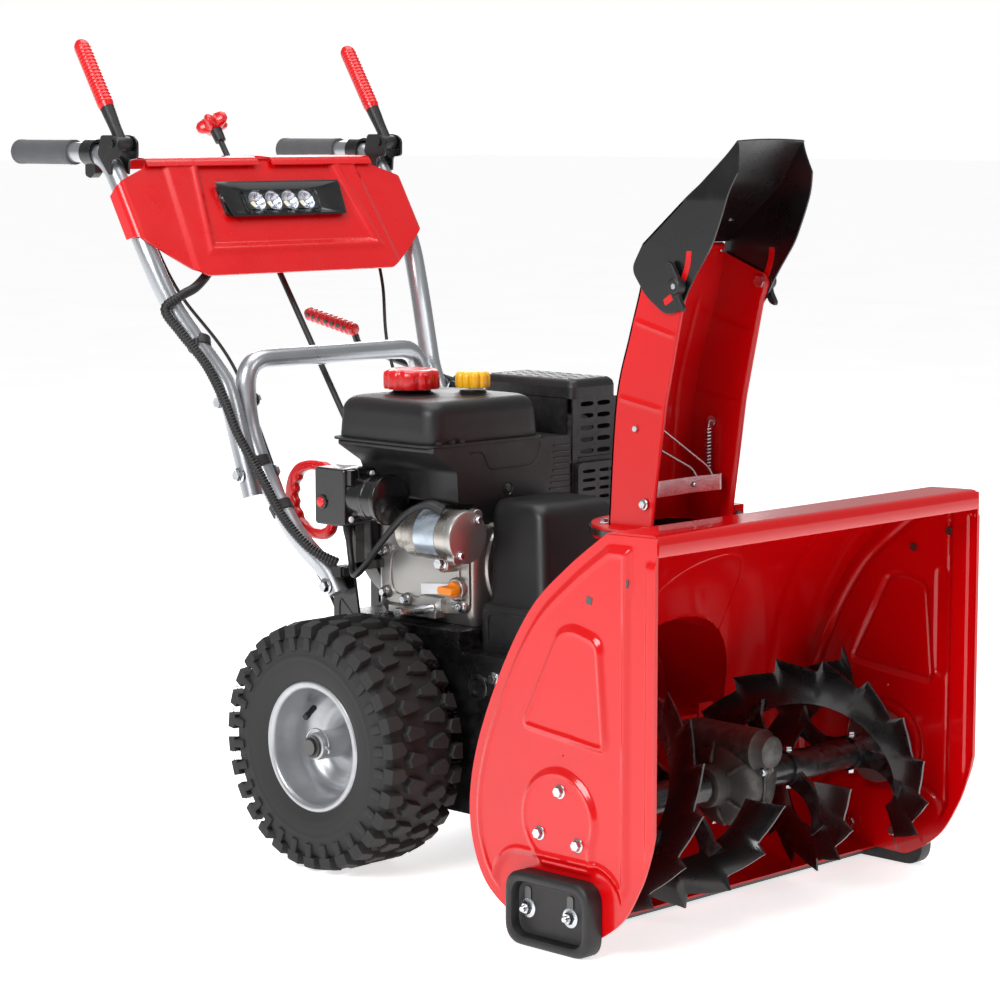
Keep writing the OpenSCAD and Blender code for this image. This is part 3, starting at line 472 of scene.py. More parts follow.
    def mirrored(self) -> "Shape":
        """A new shape with X turned over and its faces turned back to face outwards.

        Returns:
            This shape, with the new faces in it.
        """
        out = Shape()
        out.points = [p * np.array([-1.0, 1, 1]) for p in self.points]
        out.faces = [f[:, ::-1] for f in self.faces]
        out.count = self.count
        return out

    def moved(self, change: Callable[[Array], Array]) -> "Shape":
        """A new shape with its points passed through a function.

        Args:
            change: What is done to the points.

        Returns:
            This shape, with the new faces in it.
        """
        out = Shape()
        out.points = [change(p) for p in self.points]
        out.faces, out.count = list(self.faces), self.count
        return out

    def both(self) -> "Shape":
        """This shape and its mirror copy across the machine in one."""
        return Shape().joined(self).joined(self.mirrored())

    def finish(self, name: str, body: "str | Stretch", finish: "Finish", slot: str, *nodes: str,
               bevel: float = 0.0,
               sharp: float = 35.0) -> bpy.types.Object:
        """Put the shape into a mesh, dress it and tie it to the frame.

        Args:
            name: The piece's name.
            body: The CAD body that it rides on.
            finish: Its finish.
            slot: The record's material slot; not used.
            nodes: CAD nodes that it stands for.
            bevel: Width of a live bevel on its sharp edges, or 0.
            sharp: Edges that turn more than this many degrees stay sharp.

        Returns:
            The piece's object.
        """
        co = np.concatenate(self.points) / 1000.0
        loops = np.concatenate([f.ravel() for f in self.faces]).astype(np.int32)
        sizes = np.concatenate([np.full(len(f), f.shape[1]) for f in self.faces]).astype(np.int32)
        mesh = bpy.data.meshes.new(name)
        mesh.vertices.add(len(co))
        mesh.vertices.foreach_set("co", co.ravel())
        mesh.loops.add(len(loops))
        mesh.loops.foreach_set("vertex_index", loops)
        mesh.polygons.add(len(sizes))
        mesh.polygons.foreach_set("loop_start", np.concatenate([[0], np.cumsum(sizes)[:-1]]).astype(np.int32))
        mesh.update(calc_edges=True)
        mesh.validate()
        bm = bmesh.new()
        bm.from_mesh(mesh)
        bmesh.ops.remove_doubles(bm, verts=bm.verts, dist=2e-6)
        bmesh.ops.dissolve_degenerate(bm, edges=bm.edges, dist=1e-6)
        bmesh.ops.recalc_face_normals(bm, faces=bm.faces)
        bm.to_mesh(mesh)
        bm.free()
        return dress(name, mesh, body, finish, nodes, bevel, sharp)


@dataclass(frozen=True)
class Stretch:
    """Two bodies joined by one joint, and a point (millimetres) by each; a piece given one is left where it
    is made, tied to neither body.
    """

    first: str
    last: str
    start: tuple
    end: tuple


def dress(name: str, mesh: bpy.types.Mesh, body: "str | Stretch", finish: "Finish", nodes: tuple,
          bevel: float, sharp: float) -> bpy.types.Object:
    """Make the object for a mesh, with its shading, bevel, material and place in the frame.

    Args:
        name: The name to give.
        mesh: The mesh to use.
        body: The body it rides on.
        finish: The finish it wears.
        nodes: The CAD nodes it replaces.
        bevel: The bevel's width in millimetres, 0 for none.
        sharp: The angle in degrees from which an edge stays sharp.

    Returns:
        The new object.
    """
    mesh.shade_smooth()
    mesh.set_sharp_from_angle(angle=np.radians(sharp))
    obj = bpy.data.objects.new(name, mesh)
    bpy.context.scene.collection.objects.link(obj)
    if bevel > 0:
        edge = obj.modifiers.new("edges", "BEVEL")
        edge.width, edge.segments, edge.limit_method = bevel / 1000, 2, "ANGLE"
        edge.angle_limit, edge.harden_normals = np.radians(38), True
    mesh.materials.append(finish.material())
    if isinstance(body, Stretch):
        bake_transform(obj)
    else:
        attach(obj, body)
    if nodes:
        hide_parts(*nodes)
    LOG.info("%s: %d faces on %s", name, len(mesh.polygons), body)
    return obj


def refined(node: str, name: str, body: str, finish: "Finish", bevel: float = 1.2,
            sharp: float = 32.0) -> bpy.types.Object:
    """A copy of a CAD node with its triangles merged into faces and its edges eased.

    Args:
        node: The CAD node.
        name: The name to give.
        body: The body it rides on.
        finish: The finish it wears.
        bevel: The bevel's width in millimetres, 0 for none.
        sharp: The angle in degrees from which an edge stays sharp.

    Returns:
        The new object.
    """
    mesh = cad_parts[node].data.copy()
    mesh.materials.clear()
    bm = bmesh.new()
    bm.from_mesh(mesh)
    bmesh.ops.remove_doubles(bm, verts=bm.verts, dist=4e-6)
    bmesh.ops.dissolve_limit(bm, angle_limit=np.radians(1.5), verts=bm.verts, edges=bm.edges)
    bmesh.ops.recalc_face_normals(bm, faces=bm.faces)
    bm.to_mesh(mesh)
    bm.free()
    return dress(name, mesh, body, finish, (node,), bevel, sharp)


# ---------------------------------------------------------------- finishes
def linear(code: str) -> tuple:
    """A colour written as six hexadecimal digits, as linear red, green, blue and 1.

    Args:
        code: Six hexadecimal digits.

    Returns:
        Red, green, blue and 1, the first three as linear values.
    """
    c = np.array([int(code[k:k + 2], 16) for k in (0, 2, 4)]) / 255
    c = np.where(c <= 0.04045, c / 12.92, ((c + 0.055) / 1.055) ** 2.4)
    return (*c.tolist(), 1.0)


class Effect(Enum):
    """The shader groups that the finishes share."""

    TONE = "tone of a surface"
    GRAIN = "grain of a surface"
    GLOSS = "gloss of a surface"
    # A painted highlight: a lighter colour along convex edges.
    EDGES = "painted edge highlights"


def node_in(tree: bpy.types.NodeTree, kind: str, **inputs: object) -> bpy.types.Node:
    """A new node with values set, or links made, on its inputs by name (a _ stands for a space).

    Args:
        tree: The node tree it goes in.
        kind: The shader node's type.

    Returns:
        The new node.
    """
    node = tree.nodes.new(kind)
    for key, value in inputs.items():
        numbered = key[0] == "i" and key[1:].isdigit()
        socket = node.inputs[int(key[1:]) if numbered else key.replace("_", " ")]
        if isinstance(value, bpy.types.NodeSocket):
            tree.links.new(value, socket)
        else:
            socket.default_value = value
    return node


def new_group(effect: Effect, inputs: dict, outputs: dict) -> tuple:
    """An empty shader group with its sockets, and its input and output nodes.

    Args:
        effect: The effect.
        inputs: The group's input sockets.
        outputs: The group's output sockets.

    Returns:
        The group, with its input and output nodes.
    """
    tree = bpy.data.node_groups.new(effect.value, "ShaderNodeTree")
    for name, (kind, value) in inputs.items():
        tree.interface.new_socket(name, in_out="INPUT", socket_type=kind).default_value = value
    for name, kind in outputs.items():
        tree.interface.new_socket(name, in_out="OUTPUT", socket_type=kind)
    return tree, tree.nodes.new("NodeGroupInput"), tree.nodes.new("NodeGroupOutput")


def build_groups() -> dict:
    """The four shared effects, each a group that puts out a colour, a mask or a height.

    Tone mixes two colours by slow noise. Grain adds fine noise to cells a third of its size.
    Gloss moves a roughness up and down with smudges. Edges masks convex edges by pointiness
    broken up with noise, where a lighter colour goes on as a painted highlight.

    Returns:
        Each effect's group by its Effect.
    """
    groups = {}
    number, colour, vector = "NodeSocketFloat", "NodeSocketColor", "NodeSocketVector"
    tree, get, put = new_group(Effect.TONE, {"Vector": (vector, (0, 0, 0)), "Colour": (colour, (1, 1, 1, 1)),
                                             "Second": (colour, (0, 0, 0, 1)), "Scale": (number, 10.0)},
                               {"Colour": colour})
    noise = node_in(tree, "ShaderNodeTexNoise", Vector=get.outputs["Vector"], Scale=get.outputs["Scale"],
                    Detail=6.0, Roughness=0.6)
    level = node_in(tree, "ShaderNodeMapRange", Value=noise.outputs[0], From_Min=0.3, From_Max=0.75)
    mix = tree.nodes.new("ShaderNodeMix")
    mix.data_type = "RGBA"
    for socket, source in ((mix.inputs[0], level.outputs[0]), (mix.inputs[6], get.outputs["Colour"]),
                           (mix.inputs[7], get.outputs["Second"]), (put.inputs[0], mix.outputs[2])):
        tree.links.new(source, socket)
    groups[Effect.TONE] = tree
    tree, get, put = new_group(Effect.GRAIN, {"Vector": (vector, (0, 0, 0)), "Scale": (number, 300.0),
                                              "Cells": (number, 0.5)}, {"Height": number})
    noise = node_in(tree, "ShaderNodeTexNoise", Vector=get.outputs["Vector"], Scale=get.outputs["Scale"],
                    Detail=3.0)
    wide = node_in(tree, "ShaderNodeMath", i0=get.outputs["Scale"], i1=3.0)
    wide.operation = "MULTIPLY"
    cells = node_in(tree, "ShaderNodeTexVoronoi", Vector=get.outputs["Vector"], Scale=wide.outputs[0])
    part = node_in(tree, "ShaderNodeMath", i0=cells.outputs["Distance"], i1=get.outputs["Cells"])
    part.operation = "MULTIPLY"
    total = node_in(tree, "ShaderNodeMath", i0=noise.outputs[0], i1=part.outputs[0])
    tree.links.new(total.outputs[0], put.inputs[0])
    groups[Effect.GRAIN] = tree
    tree, get, put = new_group(Effect.GLOSS, {"Vector": (vector, (0, 0, 0)), "Low": (number, 0.3),
                                              "High": (number, 0.5), "Scale": (number, 12.0)},
                               {"Roughness": number})
    noise = node_in(tree, "ShaderNodeTexNoise", Vector=get.outputs["Vector"], Scale=get.outputs["Scale"],
                    Detail=5.0, Roughness=0.65)
    level = node_in(tree, "ShaderNodeMapRange", Value=noise.outputs[0], From_Min=0.35, From_Max=0.7,
                    To_Min=get.outputs["Low"], To_Max=get.outputs["High"])
    tree.links.new(level.outputs[0], put.inputs[0])
    groups[Effect.GLOSS] = tree
    # The painted edge highlight's mask: convex edges by pointiness, broken up with noise.
    tree, get, put = new_group(Effect.EDGES, {"Vector": (vector, (0, 0, 0)), "Amount": (number, 0.5)},
                               {"Mask": number})
    point = tree.nodes.new("ShaderNodeNewGeometry")
    noise = node_in(tree, "ShaderNodeTexNoise", Vector=get.outputs["Vector"], Scale=90.0, Detail=4.0)
    edge = node_in(tree, "ShaderNodeMapRange", Value=point.outputs["Pointiness"], From_Min=0.52,
                   From_Max=0.62)
    broken = node_in(tree, "ShaderNodeMapRange", Value=noise.outputs[0], From_Min=0.4, From_Max=0.6)
    both = node_in(tree, "ShaderNodeMath", i0=edge.outputs[0], i1=broken.outputs[0])
    both.operation = "MULTIPLY"
    share = node_in(tree, "ShaderNodeMath", i0=both.outputs[0], i1=get.outputs["Amount"])
    share.operation = "MULTIPLY"
    tree.links.new(share.outputs[0], put.inputs[0])
    groups[Effect.EDGES] = tree
    return groups


@dataclass(frozen=True)
class Finish:
    """One surface finish, made into a node material the first time it is used."""

    name: str
    colour: str
    second: str
    # edge is the colour of a painted highlight along convex edges, and the amount after it is that
    # highlight's share.
    edge: str = "808080"
    edge_highlight_amount: float = 0.0
    tone_scale: float = 9.0
    low: float = 0.3
    high: float = 0.45
    metallic: float = 0.0
    grain_scale: float = 400.0
    cells: float = 0.5
    grain_depth: float = 0.1
    grain_height: float = 0.0004
    coat: float = 0.0
    coat_rough: float = 0.06
    specular: float = 0.5
    sheen: float = 0.0
    emission: float = 0.0
    glass: bool = False

    def material(self) -> bpy.types.Material:
        """The material, built once: tone to colour with a painted highlight on convex edges, gloss to
        roughness and grain to a bump.

        Returns:
            The material.
        """
        made = bpy.data.materials.get(self.name)
        if made:
            return made
        made = bpy.data.materials.new(self.name)
        made.use_nodes = True
        tree = made.node_tree
        tree.nodes.clear()
        out = tree.nodes.new("ShaderNodeOutputMaterial")
        shader = tree.nodes.new("ShaderNodeBsdfPrincipled")
        tree.links.new(shader.outputs[0], out.inputs[0])
        place = tree.nodes.new("ShaderNodeTexCoord").outputs["Object"]
        tone = self.effect(tree, Effect.TONE, Vector=place, Colour=linear(self.colour),
                           Second=linear(self.second), Scale=self.tone_scale)
        colour = tone.outputs[0]
        # Painted highlight: the lighter edge colour mixed in on convex edges.
        if self.edge_highlight_amount > 0:
            edge_highlight = self.effect(tree, Effect.EDGES, Vector=place, Amount=self.edge_highlight_amount)
            mix = tree.nodes.new("ShaderNodeMix")
            mix.data_type = "RGBA"
            mix.inputs[7].default_value = linear(self.edge)
            tree.links.new(edge_highlight.outputs[0], mix.inputs[0])
            tree.links.new(colour, mix.inputs[6])
            colour = mix.outputs[2]
        tree.links.new(colour, shader.inputs["Base Color"])
        gloss = self.effect(tree, Effect.GLOSS, Vector=place, Low=self.low, High=self.high,
                            Scale=self.tone_scale * 1.7)
        tree.links.new(gloss.outputs[0], shader.inputs["Roughness"])
        grain = self.effect(tree, Effect.GRAIN, Vector=place, Scale=self.grain_scale, Cells=self.cells)
        bump = node_in(tree, "ShaderNodeBump", Strength=self.grain_depth, Distance=self.grain_height,
                       Height=grain.outputs[0])
        tree.links.new(bump.outputs[0], shader.inputs["Normal"])
        shader.inputs["Metallic"].default_value = self.metallic
        shader.inputs["Coat Weight"].default_value = self.coat
        shader.inputs["Coat Roughness"].default_value = self.coat_rough
        shader.inputs["Specular IOR Level"].default_value = self.specular
        shader.inputs["Sheen Weight"].default_value = self.sheen
        if self.glass:
            shader.inputs["Transmission Weight"].default_value = 1.0
            shader.inputs["IOR"].default_value = 1.45
        if self.emission > 0:
            tree.links.new(colour, shader.inputs["Emission Color"])
            shader.inputs["Emission Strength"].default_value = self.emission
        return made

    @staticmethod
    def effect(tree: bpy.types.NodeTree, effect: Effect, **inputs: object) -> bpy.types.Node:
        """One of the shared groups placed in a material with its own values.

        Args:
            tree: The node tree it goes in.
            effect: The effect.

        Returns:
            The new node.
        """
        node = tree.nodes.new("ShaderNodeGroup")
        node.node_tree = GROUPS[effect]
        for key, value in inputs.items():
            if isinstance(value, bpy.types.NodeSocket):
                tree.links.new(value, node.inputs[key])
            else:
                node.inputs[key].default_value = value
        return node


GROUPS = build_groups()
# Each finish's fourth colour and the number after it are its painted edge highlight and that highlight's
# share.
RED_PAINT = Finish("red_gloss_paint", "cc0006", "c10004", "e8281f", 0.2, tone_scale=5.0, low=0.2, high=0.25,
                   grain_scale=240, grain_depth=0.05, grain_height=0.0003, coat=0.55, coat_rough=0.04,
                   specular=0.3)
RED_DUCT = Finish("red_chute_paint", "c90007", "bd0004", "e8281f", 0.2, tone_scale=5.0, low=0.28, high=0.36,
                  grain_scale=300, grain_depth=0.1, grain_height=0.0003, coat=0.35, coat_rough=0.12,
                  specular=0.3)
BLACK_PAINT = Finish("black_satin_paint", "060607", "0c0c0e", "3a3a3c", 0.35, low=0.22, high=0.4,
                     grain_scale=350, grain_depth=0.08, coat=0.3, coat_rough=0.15)
AUGER_PAINT = Finish("auger_black_paint", "050506", "0b0b0c", "5a5a5c", 0.3, low=0.24, high=0.34,
                     grain_scale=260, grain_depth=0.08, coat=0.3, coat_rough=0.12)
SILVER_PAINT = Finish("silver_tube_paint", "b9bcc0", "a9acb1", "e0e2e4", 0.2, low=0.26, high=0.36,
                      metallic=0.85, grain_scale=900, grain_depth=0.12, grain_height=0.0002, coat=0.35,
                      coat_rough=0.12)
RIM_PAINT = Finish("rim_silver_paint", "b4b6b9", "9fa1a5", "dcdddf", 0.3, low=0.3, high=0.42,
                   metallic=0.75, grain_scale=700, grain_depth=0.14, coat=0.25, coat_rough=0.2)
CAST = Finish("cast_aluminium", "86837f", "6b6864", "c9c7c3", 0.5, tone_scale=26, low=0.38, high=0.55,
              metallic=0.9, grain_scale=700, cells=1.0, grain_depth=0.5, grain_height=0.0006)
GEAR_CAST = Finish("gearbox_aluminium", "5f5d5a", "474543", "b5b3af", 0.6, tone_scale=22, low=0.36, high=0.55,
                   metallic=0.9, grain_scale=700, cells=1.0, grain_depth=0.5, grain_height=0.0006)
ZINC = Finish("bright_zinc", "cfd3d8", "b3b8bd", "f2f2f2", 0.3, tone_scale=60, low=0.16, high=0.3,
              metallic=1.0, grain_scale=1200, grain_depth=0.15)
SATIN_STEEL = Finish("starter_satin_steel", "bdb8b0", "a9a49c", "e8e4dc", 0.3, tone_scale=14, low=0.22,
                     high=0.32, metallic=0.95, grain_scale=1500, grain_depth=0.2)
DARK_STEEL = Finish("dark_steel", "2a2a2c", "1c1c1e", "6a6a6c", 0.5, tone_scale=20, low=0.35, high=0.55,
                    metallic=0.8, grain_scale=500, grain_depth=0.25)
PLASTIC = Finish("black_moulded_plastic", "101012", "161618", "3c3c40", 0.2, low=0.38, high=0.52,
                 grain_scale=1400, cells=0.8, grain_depth=0.22, grain_height=0.0003)
GLOSS_PLASTIC = Finish("black_gloss_plastic", "0b0b0c", "111113", "3c3c40", 0.2, low=0.2, high=0.3,
                       grain_scale=500, grain_depth=0.05, coat=0.4)
RED_PLASTIC = Finish("red_moulded_plastic", "d2020a", "c80108", "f0352e", 0.2, low=0.24, high=0.36,
                     grain_scale=900, grain_depth=0.08, coat=0.5, coat_rough=0.1)
YELLOW_PLASTIC = Finish("yellow_moulded_plastic", "f4b90a", "eaaa00", "ffe070", 0.2, low=0.3, high=0.42,
                        grain_scale=900, grain_depth=0.08, coat=0.2)
ORANGE_PLASTIC = Finish("orange_moulded_plastic", "f18a12", "e27a06", "ffb050", 0.2, low=0.3, high=0.42,
                        grain_scale=900, grain_depth=0.08, coat=0.2)
GRIP = Finish("grey_grip_foam", "4a4b4f", "404145", "6a6b70", 0.2, tone_scale=30, low=0.6, high=0.78,
              grain_scale=1300, cells=1.0, grain_depth=0.5, grain_height=0.0005, sheen=0.15)
RUBBER = Finish("black_cable_rubber", "0c0c0d", "131314", "333335", 0.2, low=0.42, high=0.6,
                grain_scale=900, grain_depth=0.2)
TYRE = Finish("tyre_rubber", "0f0f10", "191918", "3a3936", 0.25, tone_scale=16, low=0.45, high=0.68,
              grain_scale=600, cells=0.8, grain_depth=0.35, grain_height=0.0005)
LABEL = Finish("blank_label", "e9eaec", "dfe1e4", "ffffff", 0.1, low=0.25, high=0.35, grain_scale=300,
               grain_depth=0.04, coat=0.3)
SILVER_LABEL = Finish("blank_silver_label", "b9c4cf", "9fb0bf", "ffffff", 0.1, tone_scale=30, low=0.2,
                      high=0.32, metallic=0.6, grain_scale=400, grain_depth=0.05, coat=0.4)
LENS = Finish("clear_lamp_lens", "fbfcff", "f2f6fb", "ffffff", 0.0, low=0.02, high=0.06, grain_scale=120,
              grain_depth=0.05, glass=True)
MIRROR = Finish("lamp_reflector", "e4e6ea", "d2d5da", "ffffff", 0.2, tone_scale=90, low=0.06, high=0.16,
                metallic=1.0, grain_scale=260, cells=1.0, grain_depth=0.4, grain_height=0.0005)
DIODE = Finish("lamp_diode", "fff8d8", "ffefb0", "ffffff", 0.0, low=0.2, high=0.3, emission=0.6)
FLOOR = Finish("studio_floor", "ffffff", "fbfbfb", "ffffff", 0.0, tone_scale=2, low=0.5, high=0.62,
               grain_scale=80, grain_depth=0.02, emission=0.68)


# ---------------------------------------------------------------- studio
@dataclass
class Studio:
    """Camera, soft lights, pale floor and white surroundings."""

    eye: tuple = (-2.830, -2.872, 0.974)
    heading: float = 45.4
    dip: float = 7.1
    lens: float = 108.0

    def build(self) -> None:
        """Place everything that isn't part of the object."""
        scene = bpy.context.scene
        camera = bpy.data.objects.new("camera", bpy.data.cameras.new("camera"))
        scene.collection.objects.link(camera)
        turn, fall = np.radians(self.heading), np.radians(self.dip)
        ahead = Vector((np.sin(turn) * np.cos(fall), np.cos(turn) * np.cos(fall), -np.sin(fall)))
        camera.location = self.eye
        camera.rotation_euler = ahead.to_track_quat("-Z", "Y").to_euler()
        camera.data.sensor_width, camera.data.lens = 36.0, self.lens
        scene.camera = camera
        self.light("key_softbox", (-3.3, -0.9, 2.7), (0, -0.1, 0.4), 1.8, 118)
        self.light("front_softbox", (0.9, -3.9, 2.9), (0, -0.2, 0.5), 1.5, 24)
        self.light("top_softbox", (0.3, 0.2, 3.4), (0, 0, 0.4), 2.6, 62)
        self.light("back_softbox", (2.6, 3.0, 2.2), (0, 0, 0.5), 2.2, 60)
        self.surroundings(scene)
        floor = bpy.data.objects.new("floor", self.plane(60.0))
        floor.data.materials.append(FLOOR.material())
        scene.collection.objects.link(floor)

    @staticmethod
    def light(name: str, at: tuple, towards: tuple, size: float, watts: float) -> None:
        """A square soft light at a point, facing another point.

        Args:
            name: The name to give.
            at: Where it stands.
            towards: The point it faces.
            size: The light's side in metres.
            watts: The light's power.
        """
        lamp = bpy.data.lights.new(name, "AREA")
        lamp.shape, lamp.size, lamp.energy = "SQUARE", size, watts
        obj = bpy.data.objects.new(name, lamp)
        obj.location = at
        obj.rotation_euler = (Vector(towards) - Vector(at)).to_track_quat("-Z", "Y").to_euler()
        bpy.context.scene.collection.objects.link(obj)

    @staticmethod
    def plane(half: float) -> bpy.types.Mesh:
        """A square floor at height 0.

        Args:
            half: Half the floor's side, in metres.

        Returns:
            The mesh of the floor.
        """
        mesh = bpy.data.meshes.new("floor")
        mesh.from_pydata([(-half, -half, 0), (half, -half, 0), (half, half, 0), (-half, half, 0)], [],
                         [(0, 1, 2, 3)])
        return mesh

    @staticmethod
    def surroundings(scene: bpy.types.Scene) -> None:
        """White all round to the eye, and a softer white for the light it gives.

        Args:
            scene: The scene whose world is set.
        """
        world = bpy.data.worlds.new("surroundings")
        world.use_nodes = True
        tree = world.node_tree
        tree.nodes.clear()
        seen = node_in(tree, "ShaderNodeBackground", Color=(1, 1, 1, 1), Strength=1.0)
        given = node_in(tree, "ShaderNodeBackground", Color=(1, 1, 1, 1), Strength=0.30)
        path = tree.nodes.new("ShaderNodeLightPath")
        mix = tree.nodes.new("ShaderNodeMixShader")
        out = tree.nodes.new("ShaderNodeOutputWorld")
        tree.links.new(path.outputs["Is Camera Ray"], mix.inputs[0])
        tree.links.new(given.outputs[0], mix.inputs[1])
        tree.links.new(seen.outputs[0], mix.inputs[2])
        tree.links.new(mix.outputs[0], out.inputs[0])
        scene.world = world
        scene.view_settings.view_transform = "Standard"


# ---------------------------------------------------------------- auger housing
BACK = [(-560, 503), (-497, 457), (-437, 401), (-385, 315), (-345, 215), (-336, 130), (-362, 60),
        (-420, 24), (-480, 16)]


@dataclass
class Housing:
    """The pressed steel housing: two side plates, the curved wrap, the drum and what bolts on."""

    half_w: float = 310.0
    sheet: float = 3.0
    mouth: float = -636.0
    top: float = 505.0
    emboss: float = 4.0
    auger: tuple = (-490.0, 155.0)
    bolts: list = field(default_factory=lambda: [(-493, 192), (-460, 137), (-522, 132)])
    shoe_bolts: list = field(default_factory=lambda: [(-445, 44), (-514, 44)])
    # Places of the square holes, which are drawn as dark squares of painted shade.
    holes: list = field(default_factory=lambda: [(-540, 420), (-596, 446)])

    def outline(self) -> Array:
        """The side plate's outline as (y, z) points, from the top front corner backwards."""
        low = spline([(-480, 16), (-529, 14), (-583, 47), (-614, 94), (-629, 132), (-636, 160)], 8)[8:]
        return np.vstack([[(self.mouth, self.top)], spline(BACK, 10), low])

    def raised(self, p: Array, slotted: bool = False) -> Array:
        """Height of the plate's pressing over its flat sheet at (y, z) points.

        The height is the sum of steps, each from 0 to the pressing's depth over 7 mm across an
        outline: the field inside the rim, the trapezoid, and the boss with its flat foot. A
        narrow ridge runs round the field's edge. A slotted plate has a long upright pressing too.

        Args:
            p: Points of the sheet.
            slotted: True for the plate with the long upright pressing.

        Returns:
            The result, point by point.
        """
        rim = signed_gap(p, resampled(self.outline(), 220, closed=True))
        front = p[..., 0] - (self.mouth + 40)
        foot = np.hypot(np.maximum(np.abs(p[..., 0] + 486) - 58, 0), np.maximum(p[..., 1] - 62, 0)) - 44
        inside = np.minimum(np.minimum(-rim - 15, front), foot)
        lift = self.emboss * smooth(inside, -3.5, 3.5)
        lift += 2.2 * np.exp(-((inside - 5.5) / 2.6) ** 2)
        trapezoid = rounded([(-427, 261), (-489, 384), (-512, 391), (-556, 380), (-568, 246)], 16, 5, True)
        gap = signed_gap(p, trapezoid)
        lift += 0.9 * self.emboss * smooth(-gap, -3.5, 3.5) + 2.0 * np.exp(-((gap + 5.0) / 2.5) ** 2)
        boss_round = np.hypot(p[..., 0] - self.auger[0], p[..., 1] - self.auger[1] - 2) - 60
        boss_foot = signed_gap(p, rect(-545, -452, 97, 160, 12))
        boss = np.minimum(boss_round, boss_foot)
        lift += 0.9 * self.emboss * smooth(-boss, -3.5, 3.5) + 1.6 * np.exp(-((boss + 5.0) / 2.5) ** 2)
        if slotted:
            bar = np.hypot(p[..., 0] + 578, np.maximum(np.abs(p[..., 1] - 330) - 62, 0)) - 9
            lift += 3.0 * smooth(-bar, -3, 3)
        step = smooth(p[..., 0] - self.mouth, 12.5, 17) - 1.0
        return lift - 2.2 * step * (p[..., 1] < 474) * smooth(p[..., 1], 120, 150)

    def side_plate(self, slotted: bool) -> Shape:
        """The left plate on rings that shrink from its outline to a point.

        A point is c + t (outline - c), pushed out along X by the pressing's height; the inner
        sheet is the same surface a thickness further in.

        Args:
            slotted: True for the plate with the long upright pressing.

        Returns:
            The plate as it stands on the left.
        """
        edge = resampled(self.outline(), 420, closed=True)
        centre = np.array([-495.0, 235.0])
        t = np.linspace(1, 0.006, 112)[:, None, None]
        flat = centre + t * (edge - centre)
        lift = self.raised(flat, slotted)
        outer = placed("x", flat, self.half_w + lift)
        inner = placed("x", flat, self.half_w - self.sheet + lift * (1 - smooth(t[..., 0], 0.97, 1.0)))
        return Shape().slab(outer, inner, wrap_v=True)

    def fittings(self) -> tuple[Shape, Shape]:
        """Dark squares of painted shade where the left plate's square holes are, and its hexagon bolts with
        washers.

        Returns:
            The two shapes, in the order named.
        """
        dark, bright = Shape(), Shape()
        # Each square hole is a thin dark square on both faces: painted shade where the plate is open.
        for y, z in self.holes:
            for x in (self.half_w + self.emboss - 0.6, self.half_w - self.sheet - 1.0):
                dark.prism("x", turned_flat(rect(-4.5, 4.5, -4.5, 4.5, 1), 12) + (y + 4, z + 4), x, x + 1.1)
        for y, z in self.bolts:
            bright.bolt((self.half_w + 2 * self.emboss - 1, y, z), (1, 0, 0), 7.0, 5.0, washer=8.6)
            bright.bolt((self.half_w - 19, y, z), (-1, 0, 0), 7.0, 5.0)
        for y, z in self.shoe_bolts:
            bright.lathe([(0, 0), (0, 12), (1.6, 12), (2.0, 11), (2.0, 0)], (self.half_w + 10, y, z),
                         (1, 0, 0), 30)
            bright.bolt((self.half_w + 12, y, z), (1, 0, 0), 7.6, 5.6)
            bright.lathe([(0, 0), (0, 4), (4.4, 4), (5.4, 3), (5.4, 0)], (self.half_w + 17.6, y, z),
                         (1, 0, 0), 16)
            bright.bolt((self.half_w - 9, y, z), (-1, 0, 0), 7.0, 4.0)
        return dark, bright

    def wrap(self) -> Shape:
        """The curved back sheet, cut round the drum, with its flat top and rolled front lip.

        Its section is the back curve; faces whose middles lie in the drum's circle are left
        out, and corners inside the circle are moved out to it. Two shallow ribs run from the
        drum's sides up to the top.

        Returns:
            The piece as a shape.
        """
        lip = [(-633.5, 484), (-635.2, 486), (-635.4, 498), (-634, 503.6), (-629, 505.2), (-600, 504.4)]
        curve = spline(BACK, 10)
        curve = curve[(curve[:, 0] < -425) | (curve[:, 1] > 24)]
        line = resampled(np.vstack([rounded(lip, 3, 3), curve]), 190)
        x = np.linspace(-self.half_w + self.sheet, self.half_w - self.sheet, 150)
        normal = upright(line)
        rib = np.abs(x)[None] - (250 - 0.28 * (line[:, 1] - 200))[:, None]
        high = 2.4 * np.exp(-(rib / 9) ** 2) * (smooth(line[:, 1], 80,
                                                       120) * (1 - smooth(line[:, 1], 430, 480)))[:, None]
        sheets = []
        for off in (0.4, -2.4):
            flat = line[:, None] - normal[:, None] * (off - high[..., None] * 0.6)
            sheets.append(spread(x, flat))
        return drum_cut(sheets[0], sheets[1], radius=151.5, height=200.0, lowest_y=-560)

    def build(self) -> None:
        """Make every piece of the housing."""
        self.side_plate(True).finish("side_plate_left_pressed", "frame", RED_PAINT, "red_paint",
                                     "side_plate_left",
                                     sharp=50)
        self.side_plate(False).mirrored().finish("side_plate_right_pressed", "frame", RED_PAINT, "red_paint",
                                                 "side_plate_right",
                               sharp=50)
        dark, bright = self.fittings()
        # The square holes' painted shade, in the dark steel finish.
        dark.both().finish("side_plate_square_hole_shade", "frame", DARK_STEEL, "dark_steel")
        bright.both().finish("housing_hex_bolts", "frame", ZINC, "zinc", "housing_bolts")
        self.wrap().finish("housing_wrap_sheet", "frame", RED_PAINT, "red_paint", "housing_wrap", sharp=45)
        refined("impeller_drum", "impeller_drum_shell", "frame", RED_PAINT, bevel=0.8)
        self.shoes()
        self.top_plates()

    def shoes(self) -> None:
        """Skid shoes: a deep tray with a rolled rim, a raised floor and two slots."""
        def outline(inset: float) -> Array:
            """The shoe's outline, shrunk by an inset."""
            return rect(-555 + inset, -417 - inset, inset, 90 - inset, 27 - 0.6 * inset, 8)

